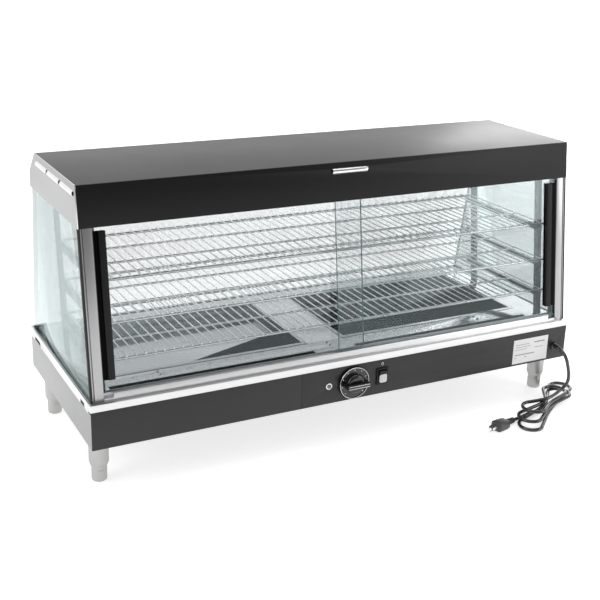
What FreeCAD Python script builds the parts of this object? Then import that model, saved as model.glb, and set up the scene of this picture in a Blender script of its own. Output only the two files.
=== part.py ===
import FreeCAD, Part
import math
import os

# Heated food display case for a counter top: a leaning glass box on a heated base, with a hood on top.
# The operator's side is -Y: two sliding glass doors, and the controls in the base below them.
# The customers' side is +Y: one fixed glass. +X is the operator's right, +Z is up. Millimetres.
# Every shape is drawn about the case's own centre plane, then moved by MID_Y when it is written, so
# that the origin is at the middle of the object's footprint, on the surface that its feet stand on.

V = FreeCAD.Vector

# ---- driving dimensions ----
BASE_WIDTH = 1219.0          # outside of the side panels
BASE_DEPTH = 478.0           # outside of the front and rear panels
LEG_HEIGHT = 102.0           # underside of the base
PANEL_TOP = 187.0            # top of the front and rear base panels
SIDE_PANEL_TOP = 181.0
TRIM_TOP = 202.4             # the ledge that the posts and the glass stand on
HOOD_BOTTOM = 553.0
HOOD_TOP = 638.0
HOOD_WIDTH = 1213.0
SHEET = 1.2                  # sheet metal
FRONT_FOOT_Y = -229.3        # front faces of the corner posts at the trim's top
FRONT_HEAD_Y = -183.0        # and where they enter the hood
REAR_FOOT_Y = 231.0          # outer face of the customers' glass at the trim's top
REAR_HEAD_Y = 176.0
DOOR_WIDTH = 609.0
DOOR_GLASS = 5.0
SIDE_GLASS = 6.0
POST_IN = 578.0              # distance of the posts' inner faces from the middle
KNOB_REACH = 30.0            # how far the knob stands out of the front panel
TRIM_PROUD = 2.0             # how far the trims stand out of the panels
CORD_DIAMETER = 8.5

HALF_W = BASE_WIDTH / 2
HALF_D = BASE_DEPTH / 2
MID_Y = (KNOB_REACH - TRIM_PROUD) / 2
OPENING_HEIGHT = HOOD_BOTTOM - TRIM_TOP
FRONT_LEAN = math.degrees(math.atan2(FRONT_HEAD_Y - FRONT_FOOT_Y, OPENING_HEIGHT))
REAR_LEAN = math.degrees(math.atan2(REAR_FOOT_Y - REAR_HEAD_Y, OPENING_HEIGHT))

os.makedirs("parts", exist_ok=True)
PARTS = {}


# ---- helpers ----
def box(x0, x1, y0, y1, z0, z1):
    return Part.makeBox(x1 - x0, y1 - y0, z1 - z0, V(x0, y0, z0))


def fuse(shapes):
    first, rest = shapes[0], shapes[1:]
    return first.multiFuse(rest).removeSplitter() if rest else first


def group(shapes):
    return Part.makeCompound(shapes)


def mirrored(shape):
    """The left-hand twin of a right-hand shape."""
    return shape.mirror(V(0, 0, 0), V(1, 0, 0))


def prism_x(points, x0, x1):
    """An outline of (y, z) points, stretched along X."""
    corners = [V(x0, y, z) for y, z in points]
    face = Part.Face(Part.makePolygon(corners + corners[:1]))
    return face.extrude(V(x1 - x0, 0, 0))


def prism_z(points, z0, z1):
    """An outline of (x, y) points, stretched along Z."""
    corners = [V(x, y, z0) for x, y in points]
    face = Part.Face(Part.makePolygon(corners + corners[:1]))
    return face.extrude(V(0, 0, z1 - z0))


def rod(start, end, radius):
    along = end - start
    return Part.makeCylinder(radius, along.Length, start, along)


def lean_front(shape):
    """Takes a shape drawn upright behind y = 0, on z = 0, to the leaning plane of the doors."""
    leaning = shape.copy()
    leaning.rotate(V(0, 0, 0), V(1, 0, 0), -FRONT_LEAN)
    leaning.translate(V(0, FRONT_FOOT_Y, TRIM_TOP))
    return leaning


def front_y(z, behind=0.0):
    """Y at height z of the plane that lies so far behind the posts' front faces."""
    lean = math.radians(FRONT_LEAN)
    return FRONT_FOOT_Y + (z - TRIM_TOP) * math.tan(lean) + behind / math.cos(lean)


def rear_y(z, inside=0.0):
    lean = math.radians(REAR_LEAN)
    return REAR_FOOT_Y - (z - TRIM_TOP) * math.tan(lean) - inside / math.cos(lean)


def smooth_path(points):
    """Straight runs joined by tangent arcs, each arc as large as its two runs allow."""
    edges = []
    radii = []
    last = points[0]
    for before, corner, after in zip(points, points[1:], points[2:]):
        run_in = (corner - before).Length
        run_out = (after - corner).Length
        way_in = (corner - before).normalize()
        way_out = (after - corner).normalize()
        half_turn = way_in.getAngle(way_out) / 2
        cut = 0.45 * min(run_in, run_out)
        radius = cut / math.tan(half_turn)
        radii.append(radius)
        start = corner - way_in * cut
        end = corner + way_out * cut
        inward = (way_out - way_in).normalize()
        middle = corner + inward * (radius / math.cos(half_turn) - radius)
        edges.append(Part.LineSegment(last, start).toShape())
        edges.append(Part.Arc(start, middle, end).toShape())
        last = end
    edges.append(Part.LineSegment(last, points[-1]).toShape())
    return Part.Wire(edges), radii


def tube(points, radius, label):
    path, radii = smooth_path(points)
    start = path.Vertexes[0].Point
    heading = points[1] - points[0]
    section = Part.Wire(Part.makeCircle(radius, start, heading))
    solid = path.makePipeShell([section], True, False)
    true_volume = math.pi * radius ** 2 * path.Length
    print(label, "length", round(path.Length, 1), "least radius", round(min(radii), 1),
          "volume share", round(solid.Volume / true_volume, 4))
    return Part.Solid(solid) if solid.ShapeType == "Shell" else solid


def write(name, shape):
    placed = shape.copy()
    placed.translate(V(0, MID_Y, 0))
    if not placed.isValid():
        print("not valid:", name)
    placed.exportStep("parts/" + name + ".step")
    PARTS[name] = placed


# ---- base: pan, panels and trims ----
LEG_X = 578.0
LEG_Y = 176.0
LEG_PLACES = {
    "front_left": (-LEG_X, -LEG_Y),
    "front_right": (LEG_X, -LEG_Y),
    "rear_left": (-LEG_X, LEG_Y),
    "rear_right": (LEG_X, LEG_Y),
}
PANEL_SEAM_X = -135.0        # the front panel is in two pieces
SEAM_GAP = 0.4
FLANGE = 12.0

KNOB_X, KNOB_Z = -4.0, 144.0
SWITCH_X, SWITCH_Z = 72.0, 146.0
PILOT_X, PILOT_Z = -67.0, 145.0
CORD_X, CORD_Z = 576.0, 136.0
FACE_Y = -HALF_D             # front face of the control panel

STUD_HOLE_R = 5.2


def base_pan():
    half_x = HALF_W - 2.5
    half_y = HALF_D - 2.5
    rise = 20.0
    outer = box(-half_x, half_x, -half_y, half_y, LEG_HEIGHT, LEG_HEIGHT + rise)
    inner = box(-half_x + SHEET, half_x - SHEET, -half_y + SHEET, half_y - SHEET,
                LEG_HEIGHT + SHEET, LEG_HEIGHT + rise)
    holes = [rod(V(x, y, LEG_HEIGHT - 1), V(x, y, LEG_HEIGHT + 5), STUD_HOLE_R)
             for x, y in LEG_PLACES.values()]
    return outer.cut(inner).cut(group(holes))


def front_sheet(x0, x1):
    """A front panel of the base, with its top edge turned in."""
    face = box(x0, x1, FACE_Y, FACE_Y + SHEET, LEG_HEIGHT, PANEL_TOP)
    flange = box(x0, x1, FACE_Y + SHEET, FACE_Y + FLANGE, PANEL_TOP - SHEET, PANEL_TOP)
    return fuse([face, flange])


SHAFT_HOLE_R = 4.0
PILOT_HOLE_R = 6.0
CORD_HOLE_R = 7.0
SWITCH_BODY_W, SWITCH_BODY_H = 25.0, 35.0


def control_panel():
    panel = front_sheet(PANEL_SEAM_X + SEAM_GAP, HALF_W)
    front = FACE_Y - 1
    back = FACE_Y + SHEET + 1
    cuts = [
        rod(V(KNOB_X, front, KNOB_Z), V(KNOB_X, back, KNOB_Z), SHAFT_HOLE_R),
        rod(V(PILOT_X, front, PILOT_Z), V(PILOT_X, back, PILOT_Z), PILOT_HOLE_R),
        rod(V(CORD_X, front, CORD_Z), V(CORD_X, back, CORD_Z), CORD_HOLE_R),
        box(SWITCH_X - SWITCH_BODY_W / 2, SWITCH_X + SWITCH_BODY_W / 2, front, back,
            SWITCH_Z - SWITCH_BODY_H / 2, SWITCH_Z + SWITCH_BODY_H / 2),
    ]
    return panel.cut(group(cuts))


def rear_panel():
    face = box(-HALF_W, HALF_W, HALF_D - SHEET, HALF_D, LEG_HEIGHT, PANEL_TOP)
    flange = box(-HALF_W + FLANGE / 2, HALF_W - FLANGE / 2, HALF_D - FLANGE, HALF_D - SHEET,
                 PANEL_TOP - SHEET, PANEL_TOP)
    return fuse([face, flange])


def side_panel():
    reach = HALF_D - SHEET - 0.2
    face = box(HALF_W - SHEET, HALF_W, -reach, reach, LEG_HEIGHT, SIDE_PANEL_TOP)
    flange = box(HALF_W - FLANGE, HALF_W - SHEET, -reach, reach, SIDE_PANEL_TOP - SHEET, SIDE_PANEL_TOP)
    return fuse([face, flange])


TRIM_HALF_X = HALF_W + 1.5
TRIM_HALF_Y = HALF_D + TRIM_PROUD
TRIM_WALL = 3.0
TRIM_RETURN = 15.0
LEDGE_Z = TRIM_TOP - SHEET
DECK_HALF_X = 596.0
DECK_TOP = TRIM_TOP + SHEET
DECK_FRONT = -200.2
DECK_BACK = 218.0
HALVES = {"left": (-551.0, -70.0), "right": (35.0, 525.0)}
TROUGH_FRONT, TROUGH_BACK = -199.0, -168.0
TROUGH_DEPTH = 11.0
FRONT_LEDGE_Y = -190.0
REAR_LEDGE_Y = 207.0
CHANNEL_FLOOR = 193.5        # floor of the channels that hold the glass
CHANNEL_SHEET = 2.0
SIDE_TRIM_FRONT = 224.5      # how far the side trims reach, to the front and to the rear
SIDE_TRIM_REAR = 234.0


def front_trim():
    wall = box(-TRIM_HALF_X, TRIM_HALF_X, -TRIM_HALF_Y, -TRIM_HALF_Y + TRIM_WALL, PANEL_TOP, TRIM_TOP)
    lip = box(-TRIM_HALF_X, TRIM_HALF_X, -TRIM_HALF_Y, -SIDE_TRIM_FRONT - 1.5, LEDGE_Z, TRIM_TOP)
    ledge = box(-DECK_HALF_X, DECK_HALF_X, -SIDE_TRIM_FRONT - 1.5, FRONT_LEDGE_Y, LEDGE_Z, TRIM_TOP)
    room = [box(x0 - 2, x1 + 2, TROUGH_FRONT - 1.3, FRONT_LEDGE_Y + 1, LEDGE_Z - 1, TRIM_TOP + 1)
            for x0, x1 in HALVES.values()]
    ends = [box(s * TRIM_HALF_X - TRIM_WALL * (s > 0), s * TRIM_HALF_X + TRIM_WALL * (s < 0),
                -TRIM_HALF_Y, -TRIM_HALF_Y + TRIM_RETURN, PANEL_TOP, TRIM_TOP) for s in (-1, 1)]
    return fuse([wall, lip, ledge] + ends).cut(group(room))


def rear_trim():
    outer_y = rear_y(CHANNEL_FLOOR) + 2.0
    inner_y = 219.0
    outer = box(-TRIM_HALF_X, TRIM_HALF_X, outer_y, TRIM_HALF_Y, PANEL_TOP, TRIM_TOP)
    floor = box(-DECK_HALF_X, DECK_HALF_X, inner_y, outer_y, CHANNEL_FLOOR, CHANNEL_FLOOR + CHANNEL_SHEET)
    inner = box(-DECK_HALF_X, DECK_HALF_X, inner_y, inner_y + CHANNEL_SHEET, CHANNEL_FLOOR, TRIM_TOP)
    ledge = box(-DECK_HALF_X, DECK_HALF_X, REAR_LEDGE_Y, inner_y, LEDGE_Z, TRIM_TOP)
    return fuse([outer, floor, inner, ledge])


SIDE_GLASS_OUT = 604.5
SIDE_GLASS_IN = SIDE_GLASS_OUT - SIDE_GLASS
NOTCHES = ((-198.0, -170.0), (150.0, 200.0))
NOTCH_HEIGHT = 10.0


def side_trim():
    """The right-hand side trim: a wall with a channel behind it, which the side glass stands in."""
    outer_x = SIDE_GLASS_OUT + 1.0
    inner_x = SIDE_GLASS_IN - 1.9
    front, rear = -SIDE_TRIM_FRONT, SIDE_TRIM_REAR
    outer = box(outer_x, TRIM_HALF_X, front, rear, SIDE_PANEL_TOP, TRIM_TOP)
    floor = box(inner_x, outer_x, front, rear, CHANNEL_FLOOR, CHANNEL_FLOOR + CHANNEL_SHEET)
    inner = box(inner_x, inner_x + 1.5, front, REAR_LEDGE_Y + 10, CHANNEL_FLOOR, TRIM_TOP)
    ledge = box(inner_x - 8, inner_x, FRONT_LEDGE_Y + 1, REAR_LEDGE_Y - 1, LEDGE_Z, TRIM_TOP)
    notches = [box(outer_x - 1, TRIM_HALF_X + 1, y0, y1, SIDE_PANEL_TOP - 1, SIDE_PANEL_TOP + NOTCH_HEIGHT)
               for y0, y1 in NOTCHES]
    return fuse([outer, floor, inner, ledge]).cut(group(notches))


write("base_pan", base_pan())
write("base_front_panel", front_sheet(-HALF_W, PANEL_SEAM_X))
write("control_panel", control_panel())
write("base_rear_panel", rear_panel())
write("base_side_right", side_panel())
write("base_side_left", mirrored(side_panel()))
write("trim_front", front_trim())
write("trim_rear", rear_trim())
write("trim_right", side_trim())
write("trim_left", mirrored(side_trim()))

# ---- legs and screw feet ----
BARREL_R = 21.0
BARREL_TAPER_R = 18.0
BARREL_BOTTOM = 36.0
BARREL_TAPER = 8.0
FOOT_R = 16.5
FOOT_ROUND = 5.0
SPINDLE_R = 6.0
SPINDLE_TOP = 78.0
SPINDLE_CLEARANCE = 0.05
STUD_R = 5.0
STUD_TOP = 112.0


def leg_barrel():
    taper = Part.makeCone(BARREL_TAPER_R, BARREL_R, BARREL_TAPER, V(0, 0, BARREL_BOTTOM))
    barrel = rod(V(0, 0, BARREL_BOTTOM + BARREL_TAPER), V(0, 0, LEG_HEIGHT), BARREL_R)
    stud = rod(V(0, 0, LEG_HEIGHT - 1), V(0, 0, STUD_TOP), STUD_R)
    bore = rod(V(0, 0, BARREL_BOTTOM - 1), V(0, 0, SPINDLE_TOP + 4), SPINDLE_R + SPINDLE_CLEARANCE)
    return fuse([taper, barrel, stud]).cut(bore)


def screw_foot():
    pad = rod(V(0, 0, 0), V(0, 0, BARREL_BOTTOM), FOOT_R)
    rim = [e for e in pad.Edges if e.Length > FOOT_R and abs(e.BoundBox.ZMax) < 1e-6]
    pad = pad.makeFillet(FOOT_ROUND, rim)
    spindle = rod(V(0, 0, BARREL_BOTTOM - 1), V(0, 0, SPINDLE_TOP), SPINDLE_R)
    return fuse([pad, spindle])


write("leg_barrels", group([leg_barrel().translated(V(x, y, 0)) for x, y in LEG_PLACES.values()]))
for place, (leg_x, leg_y) in LEG_PLACES.items():
    write("foot_" + place, screw_foot().translated(V(leg_x, leg_y, 0)))

# ---- deck, water pans and heaters ----
PAN_FRONT, PAN_BACK = -117.0, 178.0
PAN_DEPTH = 38.0
PAN_RIM = 8.0
PAN_WALL = 1.0


def trough(x0, x1):
    """A pressed drip trough along the front of the deck."""
    outer = box(x0 - SHEET, x1 + SHEET, TROUGH_FRONT - 1.0, TROUGH_BACK + SHEET,
                DECK_TOP - TROUGH_DEPTH, DECK_TOP)
    inner = box(x0, x1, TROUGH_FRONT + 0.2, TROUGH_BACK, DECK_TOP - TROUGH_DEPTH + SHEET, DECK_TOP + 1)
    return outer, inner


def deck():
    plate = box(-DECK_HALF_X, DECK_HALF_X, DECK_FRONT, DECK_BACK, TRIM_TOP, DECK_TOP)
    solids = [plate]
    hollows = []
    for x0, x1 in HALVES.values():
        outer, inner = trough(x0, x1)
        solids.append(outer)
        hollows.append(inner)
        hollows.append(box(x0, x1, PAN_FRONT, PAN_BACK, TRIM_TOP - 1, DECK_TOP + 1))
    return fuse(solids).cut(group(hollows))


def water_pan(x0, x1):
    gap = 1.5
    top = DECK_TOP + PAN_WALL
    rim = box(x0 - PAN_RIM, x1 + PAN_RIM, PAN_FRONT - PAN_RIM, PAN_BACK + PAN_RIM, DECK_TOP, top)
    body = box(x0 + gap, x1 - gap, PAN_FRONT + gap, PAN_BACK - gap, top - PAN_DEPTH, top)
    hollow = box(x0 + gap + PAN_WALL, x1 - gap - PAN_WALL, PAN_FRONT + gap + PAN_WALL,
                 PAN_BACK - gap - PAN_WALL, top - PAN_DEPTH + PAN_WALL, top + 1)
    return fuse([rim, body]).cut(hollow)


def heating_element(x0, x1):
    """A sheathed element bent to a long U, with its ends turned up, on stands from the base pan."""
    radius = 4.25
    z = 132.0
    points = [V(x0 + 30, -100, z + 22), V(x0 + 30, -95, z), V(x1 - 45, -90, z), V(x1 - 30, 30, z),
              V(x1 - 45, 150, z), V(x0 + 30, 155, z), V(x0 + 30, 160, z + 22)]
    stands = [rod(V(x, y, LEG_HEIGHT + SHEET), V(x, y, z), 3.0)
              for x in (x0 + 80, (x0 + x1) / 2, x1 - 90) for y in (-93, 153)]
    return fuse([tube(points, radius, "element")] + stands)


SHIELD_Y = -160.0


def control_shield():
    """The upright sheet that keeps the heat of the base away from the controls."""
    half = SIDE_GLASS_IN - FLANGE
    wall = box(-half, half, SHIELD_Y, SHIELD_Y + SHEET, LEG_HEIGHT + SHEET, TRIM_TOP)
    foot = box(-half, half, SHIELD_Y + SHEET, SHIELD_Y + FLANGE, LEG_HEIGHT + SHEET, LEG_HEIGHT + 2 * SHEET)
    studs = [rod(V(x, -LEG_Y, LEG_HEIGHT), V(x, -LEG_Y, STUD_TOP + 5), 3 * STUD_R) for x in (-LEG_X, LEG_X)]
    return fuse([wall, foot]).cut(group(studs))


write("deck", deck())
for side, (pan_x0, pan_x1) in HALVES.items():
    write("humidity_pan_" + side, water_pan(pan_x0, pan_x1))
write("heating_elements", group([heating_element(x0, x1) for x0, x1 in HALVES.values()]))
write("control_shield", control_shield())

# ---- controls ----
THERMOSTAT_SIZE = 36.0
THERMOSTAT_DEPTH = 30.0
SHAFT_R = 3.0
SKIRT_R = 38.0
SKIRT_THICK = 6.0
HUB_R = 23.0
HUB_FRONT = 18.0
GRIP_HALF_LENGTH = 29.0
GRIP_HALF_WIDTH = 5.5
KNOB_GAP = 1.0


def thermostat_body():
    half = THERMOSTAT_SIZE / 2
    back = FACE_Y + SHEET
    body = box(KNOB_X - half, KNOB_X + half, back, back + THERMOSTAT_DEPTH, KNOB_Z - half, KNOB_Z + half)
    bore = rod(V(KNOB_X, back - 1, KNOB_Z), V(KNOB_X, back + 18, KNOB_Z), SHAFT_R + 0.05)
    return body.cut(bore)


def thermostat_shaft():
    return rod(V(KNOB_X, FACE_Y - 16, KNOB_Z), V(KNOB_X, FACE_Y + SHEET + 17, KNOB_Z), SHAFT_R)


def thermostat_knob():
    """A dial skirt with a round hub and a grip bar across it. The bar points to the left when off."""
    back = FACE_Y - KNOB_GAP
    skirt = rod(V(KNOB_X, back, KNOB_Z), V(KNOB_X, back - SKIRT_THICK, KNOB_Z), SKIRT_R)
    dish = rod(V(KNOB_X, back - SKIRT_THICK + 1.5, KNOB_Z), V(KNOB_X, back - SKIRT_THICK - 1, KNOB_Z),
               SKIRT_R - 2.5)
    hub = rod(V(KNOB_X, back - 1, KNOB_Z), V(KNOB_X, back - HUB_FRONT, KNOB_Z), HUB_R)
    grip = box(KNOB_X - GRIP_HALF_LENGTH, KNOB_X + GRIP_HALF_LENGTH, FACE_Y - KNOB_REACH, back - 3,
               KNOB_Z - GRIP_HALF_WIDTH, KNOB_Z + GRIP_HALF_WIDTH)
    bore = rod(V(KNOB_X, back + 1, KNOB_Z), V(KNOB_X, FACE_Y - 16, KNOB_Z), SHAFT_R + 0.02)
    return fuse([skirt.cut(dish), hub, grip]).cut(bore)


BEZEL_W, BEZEL_H, BEZEL_THICK = 30.0, 40.0, 3.0
ROCKER_R = 16.0
ROCKER_W = 20.0
ROCKER_TILT = 8.0
ROCKER_BACK = 6.0
PIVOT_R = 2.0
PIVOT_Y = FACE_Y - BEZEL_THICK + 2.0     # the rocker's pivot line, just inside the bezel


def switch_housing():
    bezel = box(SWITCH_X - BEZEL_W / 2, SWITCH_X + BEZEL_W / 2, FACE_Y - BEZEL_THICK, FACE_Y,
                SWITCH_Z - BEZEL_H / 2, SWITCH_Z + BEZEL_H / 2)
    body = box(SWITCH_X - SWITCH_BODY_W / 2 + 0.2, SWITCH_X + SWITCH_BODY_W / 2 - 0.2, FACE_Y, FACE_Y + 28,
               SWITCH_Z - SWITCH_BODY_H / 2 + 0.2, SWITCH_Z + SWITCH_BODY_H / 2 - 0.2)
    half = ROCKER_W / 2 + 0.5
    well = rod(V(SWITCH_X - half, PIVOT_Y, SWITCH_Z), V(SWITCH_X + half, PIVOT_Y, SWITCH_Z), ROCKER_R + 0.5)
    pin_space = rod(V(SWITCH_X - half - 1.5, PIVOT_Y, SWITCH_Z), V(SWITCH_X + half + 1.5, PIVOT_Y, SWITCH_Z),
                    PIVOT_R + 0.05)
    return fuse([bezel, body]).cut(well).cut(pin_space)


def switch_rocker():
    """A two-faced rocker. At rest its upper half stands out, and it tips to bring out its lower half."""
    half = ROCKER_W / 2
    drum = rod(V(SWITCH_X - half, PIVOT_Y, SWITCH_Z), V(SWITCH_X + half, PIVOT_Y, SWITCH_Z), ROCKER_R)
    front = PIVOT_Y - 4.0
    rise = math.tan(math.radians(2 * ROCKER_TILT)) * 2 * ROCKER_R
    profile = [(front, SWITCH_Z), (front, SWITCH_Z - 2 * ROCKER_R), (PIVOT_Y + ROCKER_BACK, SWITCH_Z - 2 * ROCKER_R),
               (PIVOT_Y + ROCKER_BACK, SWITCH_Z + 2 * ROCKER_R), (front - rise, SWITCH_Z + 2 * ROCKER_R)]
    pins = rod(V(SWITCH_X - half - 1.3, PIVOT_Y, SWITCH_Z), V(SWITCH_X + half + 1.3, PIVOT_Y, SWITCH_Z), PIVOT_R)
    return fuse([drum.common(prism_x(profile, SWITCH_X - half, SWITCH_X + half)), pins])


def pilot_lamp():
    bezel = rod(V(PILOT_X, FACE_Y - 3.0, PILOT_Z), V(PILOT_X, FACE_Y, PILOT_Z), 8.0)
    body = rod(V(PILOT_X, FACE_Y, PILOT_Z), V(PILOT_X, FACE_Y + 22, PILOT_Z), PILOT_HOLE_R - 0.2)
    lens = Part.makeSphere(5.0, V(PILOT_X, FACE_Y - 2.0, PILOT_Z))
    return fuse([bezel, body, lens])


PLATE_X0, PLATE_X1 = 448.0, 554.0
PLATE_Z0, PLATE_Z1 = 107.0, 170.0

write("thermostat_body", thermostat_body())
write("thermostat_shaft", thermostat_shaft())
write("thermostat_knob", thermostat_knob())
write("switch_housing", switch_housing())
write("switch_rocker", switch_rocker())
write("pilot_lamp", pilot_lamp())
write("rating_plate", box(PLATE_X0, PLATE_X1, FACE_Y - 0.6, FACE_Y, PLATE_Z0, PLATE_Z1))
write("terminal_block", box(470, 530, -215, -185, LEG_HEIGHT + SHEET, LEG_HEIGHT + 28))

# ---- corner posts, seals and glass ----
POST_DEPTH = 28.0
POST_LENGTH = OPENING_HEIGHT / math.cos(math.radians(FRONT_LEAN)) + 12.0
POST_BOX = 597.0
RIB_OUT = 601.5
SEAL_OUT = 606.0
JAMB = 2.0
GLASS_BEHIND = 8.3           # the side glass starts this far behind the posts' front faces
GLASS_FOOT_Z = 196.0
GLASS_HEAD_Z = 566.0


def flat_foot(shape):
    """Cuts a leaning piece level at the trim's top."""
    return shape.cut(box(-1000, 1000, -500, 500, 0, TRIM_TOP))


def corner_post():
    wall = 1.5
    below = 6.0
    shell = box(POST_IN, POST_BOX, 0, POST_DEPTH, -below, POST_LENGTH)
    hollow = box(POST_IN + wall, POST_BOX - wall, wall, POST_DEPTH - wall, -below - 1, POST_LENGTH + 1)
    web = box(POST_BOX, RIB_OUT, 5.0, 7.0, -below, POST_LENGTH)
    rib = box(RIB_OUT - 2.0, RIB_OUT, 0.5, 5.0, -below, POST_LENGTH)
    return flat_foot(lean_front(fuse([shell.cut(hollow), web, rib])))


def post_seals():
    """The black strip in front of the side glass, and the bumper strip that a door closes on."""
    strip = box(RIB_OUT + 0.4, SEAL_OUT, 0.5, GLASS_BEHIND - 0.3, -6.0, POST_LENGTH - 10)
    jamb = box(POST_IN - JAMB, POST_IN, 2.0, 24.0, 16.0, POST_LENGTH - 16)
    under_hood = box(-1000, 1000, -500, 500, TRIM_TOP, HOOD_BOTTOM - 0.5)
    right = [lean_front(strip).common(under_hood), lean_front(jamb)]
    return group(right + [mirrored(s) for s in right])


def side_glass():
    outline = [(front_y(GLASS_FOOT_Z, GLASS_BEHIND), GLASS_FOOT_Z), (rear_y(GLASS_FOOT_Z), GLASS_FOOT_Z),
               (rear_y(GLASS_HEAD_Z), GLASS_HEAD_Z), (front_y(GLASS_HEAD_Z, GLASS_BEHIND), GLASS_HEAD_Z)]
    return prism_x(outline, SIDE_GLASS_IN, SIDE_GLASS_OUT)


def customer_glass():
    half = SIDE_GLASS_IN - 0.5
    outline = [(rear_y(GLASS_FOOT_Z), GLASS_FOOT_Z), (rear_y(GLASS_HEAD_Z), GLASS_HEAD_Z),
               (rear_y(GLASS_HEAD_Z, SIDE_GLASS), GLASS_HEAD_Z), (rear_y(GLASS_FOOT_Z, SIDE_GLASS), GLASS_FOOT_Z)]
    return prism_x(outline, -half, half)


write("post_right", corner_post())
write("post_left", mirrored(corner_post()))
write("post_seals", post_seals())
write("side_glass_right", side_glass())
write("side_glass_left", mirrored(side_glass()))
write("customer_glass", customer_glass())

# ---- sliding doors and their tracks ----
NEAR_GLASS = 3.5             # the right-hand door runs in front
FAR_GLASS = 18.0             # the left-hand door runs behind it
TRACK_HALF_X = POST_IN - 0.5
TRACK_DEPTH = 27.0
TRACK_FLOOR = 5.0
LIP_HEIGHT = 14.0
LIP_CUT = 20.0               # the front lip stops short of the posts
GLASS_FOOT = 6.0
GLASS_LENGTH = 364.0
HANDLE_WIDTH = 29.0
HANDLE_FOOT, HANDLE_HEAD = 38.0, 343.0
HEAD_LIP = 356.0
HEAD_WEB = 376.0


def bottom_track():
    half = TRACK_HALF_X
    floor = box(-half, half, 0.2, TRACK_DEPTH, -6.0, TRACK_FLOOR)
    front = box(-half + LIP_CUT, half - LIP_CUT, 0.2, 1.8, 0, LIP_HEIGHT)
    middle = box(-half, half, 11.4, 12.0, 0, LIP_HEIGHT)
    rear = box(-half, half, TRACK_DEPTH - 1.5, TRACK_DEPTH, 0, LIP_HEIGHT)
    return flat_foot(lean_front(fuse([floor, front, middle, rear])))


def top_track():
    half = TRACK_HALF_X
    web = box(-half, half, 0.4, TRACK_DEPTH, HEAD_WEB, HEAD_WEB + 2.5)
    lips = [box(-half, half, y0, y1, HEAD_LIP, HEAD_WEB)
            for y0, y1 in ((0.4, 1.8), (11.4, 12.0), (TRACK_DEPTH - 1.5, TRACK_DEPTH))]
    return lean_front(fuse([web] + lips))


def door_glass(x0, behind):
    return lean_front(box(x0, x0 + DOOR_WIDTH, behind, behind + DOOR_GLASS, GLASS_FOOT,
                          GLASS_FOOT + GLASS_LENGTH))


def near_handle(edge_x):
    """The pull on the right-hand door. A thick face towards the glass, and a finger groove at its edge."""
    x_in = edge_x - HANDLE_WIDTH + 1.0
    x_out = edge_x + 0.8
    face = box(x_in, x_in + 15, NEAR_GLASS - 6.5, NEAR_GLASS - 0.2, HANDLE_FOOT, HANDLE_HEAD)
    groove = box(x_in + 15, x_out, NEAR_GLASS - 2.0, NEAR_GLASS - 0.2, HANDLE_FOOT, HANDLE_HEAD)
    back = box(x_in, x_out, NEAR_GLASS + DOOR_GLASS + 0.2, NEAR_GLASS + DOOR_GLASS + 1.7,
               HANDLE_FOOT, HANDLE_HEAD)
    edge = box(edge_x + 0.2, x_out, NEAR_GLASS - 2.0, NEAR_GLASS + DOOR_GLASS + 1.7,
               HANDLE_FOOT, HANDLE_HEAD)
    return lean_front(fuse([face, groove, back, edge]))


def far_handle(edge_x):
    """The pull on the left-hand door, flat enough to pass behind the other door."""
    x_in = edge_x + HANDLE_WIDTH - 6.0
    x_out = edge_x - 5.0
    face = box(x_in - 15, x_in, FAR_GLASS - 5.3, FAR_GLASS - 0.2, HANDLE_FOOT, HANDLE_HEAD)
    groove = box(x_out, x_in - 15, FAR_GLASS - 2.0, FAR_GLASS - 0.2, HANDLE_FOOT, HANDLE_HEAD)
    back = box(x_out, x_in, FAR_GLASS + DOOR_GLASS + 0.2, FAR_GLASS + DOOR_GLASS + 1.7,
               HANDLE_FOOT, HANDLE_HEAD)
    edge = box(x_out, edge_x - 0.2, FAR_GLASS - 2.0, FAR_GLASS + DOOR_GLASS + 1.7,
               HANDLE_FOOT, HANDLE_HEAD)
    return lean_front(fuse([face, groove, back, edge]))


NEAR_EDGE = POST_IN - JAMB - 1.2
FAR_EDGE = -(POST_IN - JAMB) + 5.5

write("door_track_bottom", bottom_track())
write("door_track_top", top_track())
write("door_glass_right", door_glass(NEAR_EDGE - DOOR_WIDTH, NEAR_GLASS))
write("door_glass_left", door_glass(FAR_EDGE, FAR_GLASS))
write("door_handle_right", near_handle(NEAR_EDGE))
write("door_handle_left", far_handle(FAR_EDGE))

# ---- hood ----
HOOD_HALF = HOOD_WIDTH / 2
CAP = 1.5                    # end cap thickness
HOOD_FRONT_TOP_Y = -175.0
HOOD_FRONT_BOTTOM_Y = -185.0
HOOD_REAR_TOP_Y = 134.5
HOOD_KINK_Y, HOOD_KINK_Z = 183.5, 589.6
HOOD_REAR_BOTTOM_Y = 187.0
SHEET_HALF = HOOD_HALF - CAP - 0.2       # half length of the hood's own sheets
CAP_FLANGE = 12.0

HOOD_OUTLINE = [
    (HOOD_FRONT_BOTTOM_Y, HOOD_BOTTOM),
    (HOOD_FRONT_TOP_Y, HOOD_TOP),
    (HOOD_REAR_TOP_Y, HOOD_TOP),
    (HOOD_KINK_Y, HOOD_KINK_Z),
    (HOOD_REAR_BOTTOM_Y, HOOD_BOTTOM),
]
LOUVRE_LENGTH = 84.0
LOUVRE_R = 6.0
LOUVRE_PROUD = 4.0
LOUVRE_Z = 619.0


def offset_line(points, distance):
    """The open outline moved inwards, to the right of its direction of travel."""
    moved = []
    for i, (y, z) in enumerate(points):
        sides = []
        for (y0, z0), (y1, z1) in zip(points[max(i - 1, 0):i + 1], points[max(i - 1, 0) + 1:i + 2]):
            length = math.hypot(y1 - y0, z1 - z0)
            sides.append(((z1 - z0) / length, -(y1 - y0) / length))
        ny = sum(s[0] for s in sides) / len(sides)
        nz = sum(s[1] for s in sides) / len(sides)
        size = ny * ny + nz * nz
        moved.append((y + ny / size * distance, z + nz / size * distance))
    return moved


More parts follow.
